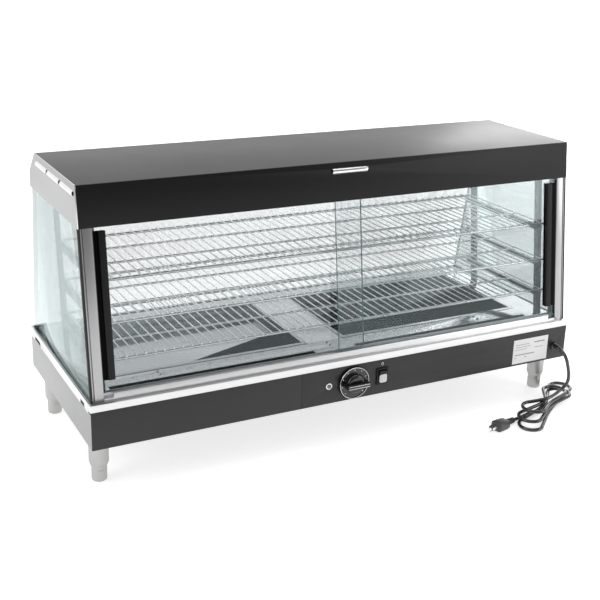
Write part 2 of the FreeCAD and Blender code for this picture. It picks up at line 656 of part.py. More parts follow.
def bent_sheet(points, inset, x0, x1):
    """A sheet that follows the outline, this far inside it."""
    outer = offset_line(points, inset) if inset else points
    inner = offset_line(points, inset + SHEET)
    return prism_x(outer + inner[::-1], x0, x1)


def louvre(centre, along, out):
    """A raised half-round vent, closed at one end and open at the other."""
    axis = V(along)
    outward = V(out)
    start = centre - axis * (LOUVRE_LENGTH / 2) - outward * (LOUVRE_R - LOUVRE_PROUD)
    outer = Part.makeCylinder(LOUVRE_R, LOUVRE_LENGTH, start, axis)
    cap = Part.makeSphere(LOUVRE_R, start + axis * LOUVRE_LENGTH)
    inner = Part.makeCylinder(LOUVRE_R - 1.0, LOUVRE_LENGTH + 1, start - axis, axis)
    inner_cap = Part.makeSphere(LOUVRE_R - 1.0, start + axis * LOUVRE_LENGTH)
    return outer.fuse(cap), inner.fuse(inner_cap)


def with_louvres(sheet, places, along, out):
    """Presses louvres out of a flat sheet and opens the sheet behind them."""
    slab = sheet
    hollows = []
    behind = V(out) * -1.0
    for centre in places:
        outer, inner = louvre(centre, along, out)
        keep = Part.makeBox(400, 400, 400, V(-200, -200, 0))
        keep.Placement = FreeCAD.Placement(centre + behind * 0.4, FreeCAD.Rotation(V(0, 0, 1), V(out)))
        slab = slab.fuse(outer.common(keep))
        hollows.append(inner)
    return slab.cut(group(hollows))


def hood_front():
    flange = 15.0
    run = HOOD_OUTLINE[:2] + [(HOOD_FRONT_TOP_Y + flange, HOOD_TOP)]
    outer = [HOOD_OUTLINE[0], (HOOD_FRONT_TOP_Y - 0.14, HOOD_TOP - SHEET),
             (HOOD_FRONT_TOP_Y + flange, HOOD_TOP - SHEET)]
    inner = offset_line(outer, SHEET)
    sheet = prism_x(outer + inner[::-1], -SHEET_HALF, SHEET_HALF)
    lean = math.atan2(run[1][0] - run[0][0], run[1][1] - run[0][1])
    z = LOUVRE_Z
    y = HOOD_FRONT_BOTTOM_Y + (z - HOOD_BOTTOM) * math.tan(lean)
    out = V(0, -math.cos(lean), math.sin(lean))
    return with_louvres(sheet, [V(-1, y, z)], V(1, 0, 0), out)


def hood_top():
    return box(-SHEET_HALF, SHEET_HALF, HOOD_FRONT_TOP_Y, HOOD_REAR_TOP_Y, HOOD_TOP - SHEET, HOOD_TOP)


def hood_rear():
    run = HOOD_OUTLINE[2:]
    tongue = [(HOOD_REAR_TOP_Y - 15, HOOD_TOP - SHEET), (HOOD_REAR_TOP_Y + 0.5, HOOD_TOP - SHEET)]
    outer = tongue + run[1:]
    inner = offset_line(outer, SHEET)
    return prism_x(outer + inner[::-1], -SHEET_HALF, SHEET_HALF)


CAP_LOUVRES = (71.5, -24.0, -121.5)


def hood_end():
    """The right-hand end cap: a plate with its edges turned in under the hood's sheets."""
    corners = [V(HOOD_HALF - CAP, y, z) for y, z in HOOD_OUTLINE]
    plate = Part.Face(Part.makePolygon(corners + corners[:1])).extrude(V(CAP, 0, 0))
    flange = bent_sheet(HOOD_OUTLINE, 2 * SHEET + 0.6, HOOD_HALF - CAP - CAP_FLANGE, HOOD_HALF - CAP)
    flange = flange.cut(box(0, 1000, -500, 500, 0, GLASS_HEAD_Z + 4))
    places = [V(HOOD_HALF, y, LOUVRE_Z) for y in CAP_LOUVRES]
    return with_louvres(fuse([plate, flange]), places, V(0, 1, 0), V(1, 0, 0))


LINER_Z = 556.0
LINER_FRONT, LINER_BACK = -150.0, 162.0
LAMP_X = 300.0
LAMP_HOLE_R = 32.0
SOCKET_R = 16.0
BULB_R = 22.0
BULB_Z = 585.0


def hood_liner():
    plate = box(-POST_BOX, POST_BOX, LINER_FRONT, LINER_BACK, LINER_Z, LINER_Z + SHEET)
    holes = [rod(V(x, 0, LINER_Z - 1), V(x, 0, LINER_Z + 3), LAMP_HOLE_R) for x in (-LAMP_X, LAMP_X)]
    return plate.cut(group(holes))


def lamp_socket(x):
    return rod(V(x, 0, BULB_Z + BULB_R + 4), V(x, 0, HOOD_TOP - SHEET), SOCKET_R)


def lamp_bulb(x):
    bulb = Part.makeSphere(BULB_R, V(x, 0, BULB_Z))
    neck = rod(V(x, 0, BULB_Z), V(x, 0, BULB_Z + BULB_R + 4), 12.0)
    return fuse([bulb, neck])


write("hood_top", hood_top())
write("hood_front", hood_front())
write("hood_rear", hood_rear())
write("hood_end_right", hood_end())
write("hood_end_left", mirrored(hood_end()))
write("hood_liner", hood_liner())
write("lamp_sockets", group([lamp_socket(-LAMP_X), lamp_socket(LAMP_X)]))
write("lamp_bulbs", group([lamp_bulb(-LAMP_X), lamp_bulb(LAMP_X)]))

# ---- shelves on slotted uprights ----
SHELF_Z = {"bottom": 274.0, "middle": 350.2, "top": 439.1}   # whole steps of the slots
SLOT_PITCH = 12.7
SHELF_BEHIND = 35.0          # the front rails, behind the posts' front faces
SHELF_DEPTH = 300.0
RAIL_HALF_X = 576.0
RAIL_R = 3.2
CROSS_R = 2.4
WIRE_R = 1.5
WIRE_COUNT = 55
WIRE_HALF_X = 556.0
WELD = 0.3
UPRIGHT_X = 561.0
UPRIGHT_WALL = 1.2
UPRIGHT_WIDTH = 17.0
UPRIGHT_DEPTH = 9.0
UPRIGHT_STARTS = (45.0, 308.0)           # front and rear uprights, behind the posts' front faces
UPRIGHT_HEAD = 352.0
SLOT_W, SLOT_H = 4.0, 8.0
BRACKET_IN, BRACKET_OUT = 546.0, 560.4
BRACKET_DROP = 16.0
HOOK = 3.0


def shelf():
    """A wire shelf, drawn with its front rail at y = 0 and the axes of its wires at z = 0."""
    rail_z = -(RAIL_R + WIRE_R - WELD)
    cross_z = -(CROSS_R + WIRE_R - WELD)
    rods = [rod(V(-RAIL_HALF_X, y, rail_z), V(RAIL_HALF_X, y, rail_z), RAIL_R) for y in (0, SHELF_DEPTH)]
    rods += [rod(V(-WIRE_HALF_X, y, cross_z), V(WIRE_HALF_X, y, cross_z), CROSS_R)
             for y in (SHELF_DEPTH / 3, 2 * SHELF_DEPTH / 3)]
    step = 2 * WIRE_HALF_X / (WIRE_COUNT - 1)
    for i in range(WIRE_COUNT):
        x = -WIRE_HALF_X + i * step
        rods.append(rod(V(x, -RAIL_R, 0), V(x, SHELF_DEPTH + RAIL_R, 0), WIRE_R))
    return fuse(rods)


def upright(behind):
    """A slotted channel. Its slots face the middle of the case."""
    outer = box(UPRIGHT_X, UPRIGHT_X + UPRIGHT_DEPTH, behind, behind + UPRIGHT_WIDTH, -60, UPRIGHT_HEAD)
    inner = box(UPRIGHT_X + UPRIGHT_WALL, UPRIGHT_X + UPRIGHT_DEPTH + 1, behind + UPRIGHT_WALL,
                behind + UPRIGHT_WIDTH - UPRIGHT_WALL, -61, UPRIGHT_HEAD + 1)
    middle = behind + UPRIGHT_WIDTH / 2
    lean = math.cos(math.radians(FRONT_LEAN))
    first = (SHELF_Z["bottom"] - TRIM_TOP - 4 * SLOT_PITCH) / lean
    slots = [box(UPRIGHT_X - 1, UPRIGHT_X + 3, middle - SLOT_W / 2, middle + SLOT_W / 2,
                 first + i * SLOT_PITCH, first + i * SLOT_PITCH + SLOT_H) for i in range(25)]
    leaning = lean_front(outer.cut(inner).cut(group(slots)))
    return leaning.cut(box(0, 1000, -500, 500, 0, DECK_TOP)).cut(box(0, 1000, -500, 500, LINER_Z, 700))


def bracket(z):
    """The angle under a shelf's right-hand end."""
    top = z - 2 * RAIL_R - WIRE_R + WELD
    y0 = front_y(z, SHELF_BEHIND) - 5.0
    y1 = y0 + SHELF_DEPTH + 10.0
    flange = box(BRACKET_IN, BRACKET_OUT, y0, y1, top - SHEET, top)
    web = box(BRACKET_OUT - SHEET, BRACKET_OUT, y0, y1, top - BRACKET_DROP, top)
    return fuse([flange, web])


def both_ends(shapes):
    return group(shapes + [mirrored(s) for s in shapes])


wire_shelf = shelf()
for level, shelf_z in SHELF_Z.items():
    write("shelf_" + level, wire_shelf.translated(V(0, front_y(shelf_z, SHELF_BEHIND), shelf_z)))
write("shelf_uprights", both_ends([upright(behind) for behind in UPRIGHT_STARTS]))
write("shelf_brackets", both_ends([bracket(z) for z in SHELF_Z.values()]))

# ---- screws ----
SCREW_HEAD_R = 4.0
SCREW_HEAD = 2.2
SCREW_SHANK_R = 2.0


def screw(place, out):
    """A pan-head screw whose head stands out of a face."""
    outward = V(out)
    head = Part.makeCone(SCREW_HEAD_R, SCREW_HEAD_R * 0.7, SCREW_HEAD, place, outward)
    return head


def case_screws():
    deck_spots = [screw(V(x, y, DECK_TOP), V(0, 0, 1)) for x in (-430, -17, 400) for y in (-150, -134)]
    rear_spots = [screw(V(x, HALF_D, z), V(0, 1, 0)) for x in (-580, -200, 200, 580) for z in (116, 172)]
    return group(deck_spots + rear_spots)


write("case_screws", case_screws())

# ---- mains lead ----
RELIEF_OUT = 14.0
CORD_R = CORD_DIAMETER / 2
HANK_X, HANK_Y = 516.0, -307.0
TURN_RISE = CORD_DIAMETER + 0.5
FOLD_R = 26.0
# Each turn of the hank has a loop at either end: its direction in degrees, and its reach from the waist.
HANK_TURNS = (
    ((209.0, 140.0), (38.0, 174.0)),
    ((202.0, 120.0), (32.0, 116.0)),
    ((193.0, 88.0), (39.0, 106.0)),
)
WAIST_R = 13.0


def strain_relief():
    inside = 12.0
    flange = rod(V(CORD_X, FACE_Y, CORD_Z), V(CORD_X, FACE_Y - 4, CORD_Z), 9.5)
    nose = Part.makeCone(7.5, 5.6, RELIEF_OUT - 4, V(CORD_X, FACE_Y - 4, CORD_Z), V(0, -1, 0))
    shank = rod(V(CORD_X, FACE_Y, CORD_Z), V(CORD_X, FACE_Y + inside, CORD_Z), CORD_HOLE_R - 0.2)
    return fuse([flange, nose, shank])


DROP_ROUTE = [
    V(576, -253, 136),
    V(576, -272, 134.5),
    V(577, -288, 120),
    V(582, -291, 99),
    V(588, -291, 77),
    V(588, -290, 54),
    V(575, -288, 36),
    V(553, -293, 26),
    V(533, -301, 24),
    V(516, -307, 22),
]
LEAD_ROUTE = [
    V(489, -306, 15),
    V(470, -307, 15),
    V(450, -310, 13),
    V(431, -316, 9),
    V(413, -322, 8),
    V(396, -327, 8.2),
]


def loop_outline(angle, reach):
    """A loop of the hank from above: a wedge from the waist to the fold at its tip."""
    direction = math.radians(angle)
    tip_r = FOLD_R + CORD_R + 0.5
    far = reach - FOLD_R
    spread = math.asin((tip_r - WAIST_R) / far)
    points = []
    for turn, radius, distance in ((90, WAIST_R, 0.0), (90, tip_r, far)):
        side = math.radians(turn) + spread
        points.append((distance + radius * math.cos(side), radius * math.sin(side)))
    near_side, far_side = points
    outline = [near_side, far_side]

    def place(x, y, z=0.0):
        return V(HANK_X + x * math.cos(direction) - y * math.sin(direction),
                 HANK_Y + x * math.sin(direction) + y * math.cos(direction), z)

    a, b = [place(*p) for p in outline]
    c, d = place(far_side[0], -far_side[1]), place(near_side[0], -near_side[1])
    tip = place(far + tip_r, 0)
    back = place(-WAIST_R, 0)
    edges = [Part.LineSegment(a, b).toShape(), Part.Arc(b, tip, c).toShape(),
             Part.LineSegment(c, d).toShape(), Part.Arc(d, back, a).toShape()]
    return Part.Face(Part.Wire(edges))


def cord_hank():
    loops = []
    for level, turn in enumerate(HANK_TURNS):
        top = (level + 1) * TURN_RISE
        for angle, reach in turn:
            loops.append(loop_outline(angle, reach).extrude(V(0, 0, top)))
    return fuse(loops)


PLUG_START = LEAD_ROUTE[-1]
PLUG_HEADING = 195.0
NECK_LENGTH = 34.0
PLUG_LENGTH = 36.0
PLUG_WIDTH, PLUG_HEIGHT = 28.0, 22.0
BLADE_LENGTH = 18.0
PLUG_AXIS_Z = 12.0


def along_plug(shape):
    """Takes a shape drawn along +X from the plug's neck to where the plug lies."""
    turned = shape.copy()
    turned.rotate(V(0, 0, 0), V(0, 0, 1), PLUG_HEADING)
    turned.translate(V(PLUG_START.x, PLUG_START.y, 0))
    return turned


def plug_body():
    neck = Part.makeCone(5.2, 8.0, NECK_LENGTH, V(0, 0, 8.2), V(1, 0, 0))
    taper = 10.0
    corners = [(NECK_LENGTH - 4, -8), (NECK_LENGTH + taper, -PLUG_WIDTH / 2),
               (NECK_LENGTH + PLUG_LENGTH, -PLUG_WIDTH / 2), (NECK_LENGTH + PLUG_LENGTH, PLUG_WIDTH / 2),
               (NECK_LENGTH + taper, PLUG_WIDTH / 2), (NECK_LENGTH - 4, 8)]
    block = prism_z(corners, PLUG_AXIS_Z - PLUG_HEIGHT / 2, PLUG_AXIS_Z + PLUG_HEIGHT / 2)
    return along_plug(fuse([neck, block]))


def plug_prongs():
    front = NECK_LENGTH + PLUG_LENGTH
    blades = [box(front, front + BLADE_LENGTH, y - 0.75, y + 0.75, PLUG_AXIS_Z - 1.5, PLUG_AXIS_Z + 4.8)
              for y in (-6.35, 6.35)]
    ground = rod(V(front, 0, PLUG_AXIS_Z - 7), V(front + BLADE_LENGTH + 3, 0, PLUG_AXIS_Z - 7), 2.4)
    return along_plug(group(blades + [ground]))


write("strain_relief", strain_relief())
write("power_cord", tube(DROP_ROUTE, CORD_R, "drop"))
write("cord_hank", cord_hank())
write("plug_lead", tube(LEAD_ROUTE, CORD_R, "lead"))
write("plug_body", plug_body())
write("plug_prongs", plug_prongs())

CORD_NODES = ("strain_relief", "power_cord", "cord_hank", "plug_lead", "plug_body", "plug_prongs")
OWN = [shape for name, shape in PARTS.items() if name not in CORD_NODES]
BOUNDS = Part.makeCompound(OWN).BoundBox
print("nodes", len(PARTS), "box", [round(v, 1) for v in (BOUNDS.XMin, BOUNDS.XMax, BOUNDS.YMin, BOUNDS.YMax,
                                                         BOUNDS.ZMin, BOUNDS.ZMax)])
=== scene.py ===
import logging
import math
from dataclasses import dataclass, field
from enum import Enum
from typing import Callable, Sequence

import bmesh
import bpy
from mathutils import Matrix, Vector


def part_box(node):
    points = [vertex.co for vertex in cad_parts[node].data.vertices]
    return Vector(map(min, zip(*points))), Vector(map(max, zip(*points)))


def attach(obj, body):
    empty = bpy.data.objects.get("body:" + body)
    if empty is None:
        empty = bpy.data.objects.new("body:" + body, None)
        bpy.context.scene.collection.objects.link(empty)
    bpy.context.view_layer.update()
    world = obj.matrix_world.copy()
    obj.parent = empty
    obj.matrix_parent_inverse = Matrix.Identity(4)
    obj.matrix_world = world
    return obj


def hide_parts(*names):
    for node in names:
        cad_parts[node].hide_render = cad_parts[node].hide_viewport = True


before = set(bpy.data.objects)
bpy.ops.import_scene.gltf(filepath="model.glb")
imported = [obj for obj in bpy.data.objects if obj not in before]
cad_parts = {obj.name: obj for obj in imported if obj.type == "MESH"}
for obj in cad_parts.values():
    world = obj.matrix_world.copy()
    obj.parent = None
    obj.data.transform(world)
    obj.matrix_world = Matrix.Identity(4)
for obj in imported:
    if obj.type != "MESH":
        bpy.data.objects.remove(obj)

Socket, Node, Tree = bpy.types.NodeSocket, bpy.types.Node, bpy.types.NodeTree
Piece, Mesh = bpy.types.Object, bmesh.types.BMesh
Colour = tuple[float, float, float]

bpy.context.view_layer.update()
LOG = logging.getLogger("display_case")
SHIFT_Y = 0.014          # the case's own centre plane stands this far behind the origin
MM = 0.001
SEED = 7
FRONT = Vector((0.0, -1.0, 0.0))


# ---------------------------------------------------------------- building with nodes
class Graph:
    """A node tree that is being built."""

    def __init__(self, tree: Tree) -> None:
        """Keeps the tree that the calls add to."""
        self.tree = tree

    def add(self, kind: str, **settings: object) -> Node:
        """Adds one node.

        Args:
            kind: the node's type.
            settings: attributes to set on it.

        Returns:
            The new node.
        """
        node = self.tree.nodes.new(kind)
        for key, value in settings.items():
            setattr(node, key, value)
        return node

    def feed(self, socket: Socket, source: object) -> None:
        """Joins an output to an input, or sets the input's own value."""
        if isinstance(source, Socket):
            self.tree.links.new(source, socket)
        else:
            socket.default_value = source

    def put(self, kind: str, inputs: dict, output: int | str = 0, **settings: object) -> Socket:
        """Adds a node and feeds its inputs.

        Args:
            kind: the node's type.
            inputs: its sockets, by name or number, with what feeds each.
            output: the output to give back.
            settings: attributes to set on it.

        Returns:
            The output socket.
        """
        node = self.add(kind, **settings)
        for key, source in inputs.items():
            self.feed(node.inputs[key], source)
        return node.outputs[output]

    def math(self, operation: str, a: object, b: object = 0.0) -> Socket:
        """Gives one sum, product or other operation on two values."""
        return self.put("ShaderNodeMath", {0: a, 1: b}, operation=operation)

    def spread(self, value: object, low: object, high: object) -> Socket:
        """Takes a value from 0 to 1 to the range from low to high."""
        return self.put("ShaderNodeMapRange", {"Value": value, "To Min": low, "To Max": high})


def new_group(name: str, inputs: dict, outputs: dict, kind: str = "ShaderNodeTree") -> tuple[Graph, dict, dict]:
    """Starts a node group with named sockets.

    Args:
        name: the group's name.
        inputs: each input's name, with its socket type and its value.
        outputs: each output's name, with its socket type.
        kind: the type of tree.

    Returns:
        The graph, the inputs' sockets inside it, and the outputs' sockets inside it.
    """
    tree = bpy.data.node_groups.new(name, kind)
    for label, (socket_type, value) in inputs.items():
        made = tree.interface.new_socket(label, in_out="INPUT", socket_type=socket_type)
        if value is not None:
            made.default_value = value
    for label, socket_type in outputs.items():
        tree.interface.new_socket(label, in_out="OUTPUT", socket_type=socket_type)
    graph = Graph(tree)
    entry, leave = graph.add("NodeGroupInput"), graph.add("NodeGroupOutput")
    return graph, {k: entry.outputs[k] for k in inputs}, {k: leave.inputs[k] for k in outputs}


FLOAT, VECTOR, INTEGER = "NodeSocketFloat", "NodeSocketVector", "NodeSocketInt"
GEOMETRY, MATERIAL = "NodeSocketGeometry", "NodeSocketMaterial"


def grain_group() -> Tree:
    """Builds the group for the fine lines that a brushing belt leaves, and for the drifts between them."""
    graph, ins, outs = new_group(
        "brushed_grain",
        {"Vector": (VECTOR, None), "Stretch": (VECTOR, (1.0, 1.0, 1.0)), "Fineness": (FLOAT, 1.0)},
        {"Lines": FLOAT, "Drift": FLOAT})
    stretched = graph.put("ShaderNodeVectorMath", {0: ins["Vector"], 1: ins["Stretch"]}, operation="MULTIPLY")
    outs_lines = graph.put("ShaderNodeTexNoise", {"Vector": stretched, "Scale": ins["Fineness"], "Detail": 3.0,
                                                  "Roughness": 0.7})
    drift = graph.put("ShaderNodeTexNoise", {"Vector": ins["Vector"], "Scale": 6.0, "Detail": 2.0})
    graph.feed(outs["Lines"], outs_lines)
    graph.feed(outs["Drift"], drift)
    return graph.tree


def handling_group() -> Tree:
    """Builds the group for the faint smears and specks that a surface takes in use."""
    graph, ins, outs = new_group(
        "handling_marks", {"Vector": (VECTOR, None), "Scale": (FLOAT, 8.0)}, {"Smear": FLOAT, "Specks": FLOAT})
    smear = graph.put("ShaderNodeTexNoise", {"Vector": ins["Vector"], "Scale": ins["Scale"], "Detail": 5.0,
                                             "Distortion": 0.6})
    cells = graph.put("ShaderNodeTexVoronoi", {"Vector": ins["Vector"], "Scale": 220.0})
    graph.feed(outs["Smear"], smear)
    graph.feed(outs["Specks"], graph.put("ShaderNodeMapRange", {"Value": cells, "From Min": 0.03, "From Max": 0.12,
                                                                "To Min": 1.0, "To Max": 0.0}))
    return graph.tree


def texture_group() -> Tree:
    """Builds the group for the height of a fine skin, such as orange peel or a moulded texture."""
    graph, ins, outs = new_group(
        "fine_skin", {"Vector": (VECTOR, None), "Scale": (FLOAT, 400.0)}, {"Height": FLOAT})
    height = graph.put("ShaderNodeTexNoise", {"Vector": ins["Vector"], "Scale": ins["Scale"], "Detail": 2.0})
    graph.feed(outs["Height"], height)
    return graph.tree


GRAIN, HANDLING, SKIN = grain_group(), handling_group(), texture_group()


class GrainWay(Enum):
    """The way that a metal's brushing lines run."""

    ALONG_X = (2.0, 900.0, 900.0)
    ALONG_Y = (900.0, 2.0, 900.0)
    ALONG_Z = (900.0, 900.0, 2.0)
    EVEN = (300.0, 300.0, 300.0)


# ---------------------------------------------------------------- finishes
@dataclass(frozen=True)
class Finish:
    """A surface finish. Each kind of finish says how its material is built, and has its smears to a metre."""

    name: str
    colour: Colour
    roughness: float
    smears: float = 25.0

    def build(self, graph: Graph, shader: Node, place: Socket) -> None:
        """Dresses the shader. Each kind of finish has its own."""
        raise NotImplementedError

    def material(self) -> bpy.types.Material:
        """Gives this finish's material, and builds it the first time.

        Returns:
            The material.
        """
        made = bpy.data.materials.get(self.name)
        if made is not None:
            return made
        made = bpy.data.materials.new(self.name)
        made.use_nodes = True
        made.node_tree.nodes.clear()
        graph = Graph(made.node_tree)
        shader = graph.add("ShaderNodeBsdfPrincipled")
        out = graph.add("ShaderNodeOutputMaterial")
        graph.tree.links.new(shader.outputs[0], out.inputs[0])
        shader.inputs["Base Color"].default_value = (*self.colour, 1.0)
        shader.inputs["Roughness"].default_value = self.roughness
        place = graph.add("ShaderNodeTexCoord").outputs["Object"]
        self.build(graph, shader, place)
        return made

    def marks(self, graph: Graph, place: Socket) -> Node:
        """Adds the handling marks.

        Args:
            graph: the material's graph.
            place: the coordinates.

        Returns:
            The group's node.
        """
        node = graph.add("ShaderNodeGroup", node_tree=HANDLING)
        graph.feed(node.inputs["Vector"], place)
        node.inputs["Scale"].default_value = self.smears
        return node

    def dull(self, graph: Graph, shader: Node, factor: object, low: float, high: float) -> None:
        """Takes the roughness from low to high times its own, as the factor goes from 0 to 1."""
        graph.feed(shader.inputs["Roughness"], graph.spread(factor, self.roughness * low, self.roughness * high))

    def tint(self, graph: Graph, shader: Node, factor: object, low: float, high: float) -> None:
        """Makes the colour darker or lighter where a factor says.

        Args:
            graph: the material's graph.
            shader: the shader.
            factor: a value from 0 to 1.
            low: what the colour is multiplied by where the factor is 0.
            high: what it is multiplied by where the factor is 1.
        """
        darker = tuple(min(c * low, 1.0) for c in self.colour) + (1.0,)
        lighter = tuple(min(c * high, 1.0) for c in self.colour) + (1.0,)
        graph.feed(shader.inputs["Base Color"], graph.put(
            "ShaderNodeMix", {0: factor, 6: darker, 7: lighter}, output=2, data_type="RGBA"))

    def skin(self, graph: Graph, shader: Node, place: Socket, scale: float,
             strength: float, depth: float) -> None:
        """Gives the shader the normal of a finely textured skin.

        Args:
            graph: the material's graph.
            shader: the shader.
            place: the coordinates.
            scale: how fine the texture is.
            strength: how strong the bump is.
            depth: the bump's depth in metres.
        """
        height = graph.put("ShaderNodeGroup", {"Vector": place, "Scale": scale}, node_tree=SKIN)
        graph.feed(shader.inputs["Normal"], graph.put(
            "ShaderNodeBump", {"Strength": strength, "Distance": depth, "Height": height}))


@dataclass(frozen=True)
class Enamel(Finish):
    """Baked paint on sheet steel, with a little orange peel."""

    smears: float = 5.0
    peel: float = 0.12
    fineness: float = 420.0
    gloss: float = 0.5
    glow: float = 0.0

    def build(self, graph: Graph, shader: Node, place: Socket) -> None:
        """Adds smears to the gloss and peel to the normal."""
        marks = self.marks(graph, place)
        self.dull(graph, shader, marks.outputs["Smear"], 0.88, 1.14)
        self.tint(graph, shader, marks.outputs["Specks"], 1.0, 1.5)
        self.skin(graph, shader, place, self.fineness, self.peel, 0.0004)
        shader.inputs["Specular IOR Level"].default_value = self.gloss
        shader.inputs["Emission Color"].default_value = (1.0, 1.0, 1.0, 1.0)
        shader.inputs["Emission Strength"].default_value = self.glow


@dataclass(frozen=True)
class Brushed(Finish):
    """Stainless steel with a brushed face."""

    way: GrainWay = GrainWay.ALONG_X
    depth: float = 0.25
    metallic: float = 1.0

    def build(self, graph: Graph, shader: Node, place: Socket) -> None:
        """Adds the brushing lines to the colour, the gloss and the normal."""
        grain = graph.add("ShaderNodeGroup", node_tree=GRAIN)
        graph.feed(grain.inputs["Vector"], place)
        grain.inputs["Stretch"].default_value = self.way.value
        grain.inputs["Fineness"].default_value = 1.6
        lines, drift = grain.outputs["Lines"], grain.outputs["Drift"]
        shader.inputs["Metallic"].default_value = self.metallic
        both = graph.math("ADD", graph.math("MULTIPLY", lines, 0.6), graph.math("MULTIPLY", drift, 0.4))
        self.tint(graph, shader, both, 0.86, 1.12)
        self.dull(graph, shader, both, 0.8, 1.2)
        graph.feed(shader.inputs["Normal"], graph.put(
            "ShaderNodeBump", {"Strength": self.depth, "Distance": 0.00005, "Height": lines}))


@dataclass(frozen=True)
class Plated(Finish):
    """Bright plated or polished metal, with a few dull smears."""

    smears: float = 30.0

    def build(self, graph: Graph, shader: Node, place: Socket) -> None:
        """Adds smears to the gloss."""
        smear = self.marks(graph, place).outputs["Smear"]
        shader.inputs["Metallic"].default_value = 1.0
        self.dull(graph, shader, smear, 0.6, 1.6)
        self.tint(graph, shader, smear, 0.9, 1.08)


@dataclass(frozen=True)
class Moulded(Finish):
    """Moulded plastic or rubber with a fine texture."""

    texture: float = 0.25
    fineness: float = 900.0
    gloss: float = 0.5

    def build(self, graph: Graph, shader: Node, place: Socket) -> None:
        """Adds the moulded texture and handling marks."""
        smear = self.marks(graph, place).outputs["Smear"]
        self.dull(graph, shader, smear, 0.85, 1.15)
        self.tint(graph, shader, smear, 0.85, 1.2)
        self.skin(graph, shader, place, self.fineness, self.texture, 0.0002)
        shader.inputs["Specular IOR Level"].default_value = self.gloss


@dataclass(frozen=True)
class Pane(Finish):
    """Flat glass that is seen through, and that mirrors more at a low angle."""

    smears: float = 3.0
    body: float = 0.1
    mirror: float = 0.85
    metallic: float = 1.0

    def build(self, graph: Graph, shader: Node, place: Socket) -> None:
        """Sets the clearness by the viewing angle, with faint smears in the gloss."""
        shader.inputs["Metallic"].default_value = self.metallic
        facing = graph.add("ShaderNodeFresnel")
        facing.inputs["IOR"].default_value = 1.5
        graph.feed(shader.inputs["Alpha"], graph.put(
            "ShaderNodeMapRange", {"Value": facing.outputs[0], "From Min": 0.04, "From Max": 0.8,
                                   "To Min": self.body, "To Max": self.mirror}))
        self.dull(graph, shader, self.marks(graph, place).outputs["Smear"], 0.5, 2.0)


@dataclass(frozen=True)
class Lamp(Finish):
    """Frosted lamp glass with a faint glow of its own."""

    smears: float = 60.0
    glow: float = 0.4

    def build(self, graph: Graph, shader: Node, place: Socket) -> None:
        """Adds the frosting and the glow."""
        self.tint(graph, shader, self.marks(graph, place).outputs["Smear"], 0.92, 1.05)
        shader.inputs["Emission Color"].default_value = (*self.colour, 1.0)
        shader.inputs["Emission Strength"].default_value = self.glow


HOOD_TOP_ENAMEL = Enamel("hood_top_enamel", (0.012, 0.012, 0.013), 0.42, peel=0.1, gloss=0.6)
HOOD_FACE_ENAMEL = Enamel("hood_face_enamel", (0.003, 0.003, 0.003), 0.42, peel=0.1, gloss=0.25)
PANEL_ENAMEL = Enamel("panel_enamel", (0.014, 0.014, 0.015), 0.42, peel=0.2, gloss=0.45)
CAP_STEEL = Brushed("cap_steel", (0.42, 0.42, 0.425), 0.42, way=GrainWay.ALONG_Y)
SIDE_STEEL = Brushed("side_steel", (0.36, 0.36, 0.365), 0.45, way=GrainWay.ALONG_Y)
REAR_STEEL = Brushed("rear_steel", (0.45, 0.45, 0.455), 0.4)
TRIM_STEEL = Brushed("trim_steel", (0.7, 0.7, 0.7), 0.3)
SIDE_TRIM_STEEL = Brushed("side_trim_steel", (0.68, 0.68, 0.68), 0.26, way=GrainWay.ALONG_Y)
POST_STEEL = Brushed("post_steel", (0.42, 0.415, 0.42), 0.34, way=GrainWay.ALONG_Z)
DECK_STEEL = Brushed("deck_steel", (0.62, 0.64, 0.65), 0.13, depth=0.03)
PAN_STEEL = Brushed("pan_steel", (0.52, 0.54, 0.55), 0.12, depth=0.03)
TRACK_STEEL = Brushed("track_steel", (0.84, 0.84, 0.85), 0.4)
LINER_STEEL = Brushed("liner_steel", (0.5, 0.5, 0.5), 0.35)
PLATED_STEEL = Brushed("upright_plating", (0.15, 0.16, 0.17), 0.3, way=GrainWay.EVEN)
WIRE_CHROME = Plated("wire_chrome", (0.92, 0.94, 0.95), 0.26)
# Zinc for the screws and the shaft; the knob's bright grip lines and rim ring also use it as a painted highlight.
ZINC_AND_KNOB_HIGHLIGHT = Plated("zinc_and_knob_highlight", (0.7, 0.7, 0.7), 0.25)
LEG_STEEL = Brushed("leg_steel", (0.46, 0.46, 0.455), 0.42, way=GrainWay.ALONG_Z)
PAN_PAINT = Enamel("base_pan_paint", (0.16, 0.16, 0.16), 0.5)
HANDLE_FACE = Moulded("handle_face_plastic", (0.011, 0.011, 0.012), 0.4, gloss=0.2)
# The groove's darker, duller plastic is painted shade in the handle's finger recess.
HANDLE_GROOVE_PAINTED_SHADE = Moulded("handle_groove_painted_shade", (0.002, 0.002, 0.002), 0.5, gloss=0.05)
KNOB_PLASTIC = Moulded("knob_plastic", (0.006, 0.006, 0.006), 0.16, texture=0.06, gloss=0.7)
MARK_WHITE = Moulded("dial_marks", (0.7, 0.7, 0.7), 0.5)
SWITCH_BLACK = Moulded("switch_plastic", (0.004, 0.004, 0.004), 0.28, texture=0.1, gloss=0.3)
SWITCH_WHITE = Moulded("rocker_light_plastic", (0.6, 0.6, 0.59), 0.3, texture=0.1)
SEAL_RUBBER = Moulded("seal_rubber", (0.006, 0.006, 0.006), 0.55)
ELEMENT_SHEATH = Brushed("element_sheath", (0.12, 0.1, 0.09), 0.5, way=GrainWay.EVEN)
PORCELAIN = Moulded("socket_porcelain", (0.8, 0.78, 0.74), 0.25, texture=0.05)
BULB_FROST = Lamp("bulb_frost", (1.0, 0.96, 0.88), 0.5)
PILOT_LENS = Lamp("pilot_lens", (0.2, 0.19, 0.18), 0.12, glow=0.0)
PLATE_FACE = Enamel("rating_plate_face", (0.82, 0.82, 0.82), 0.4, peel=0.05)
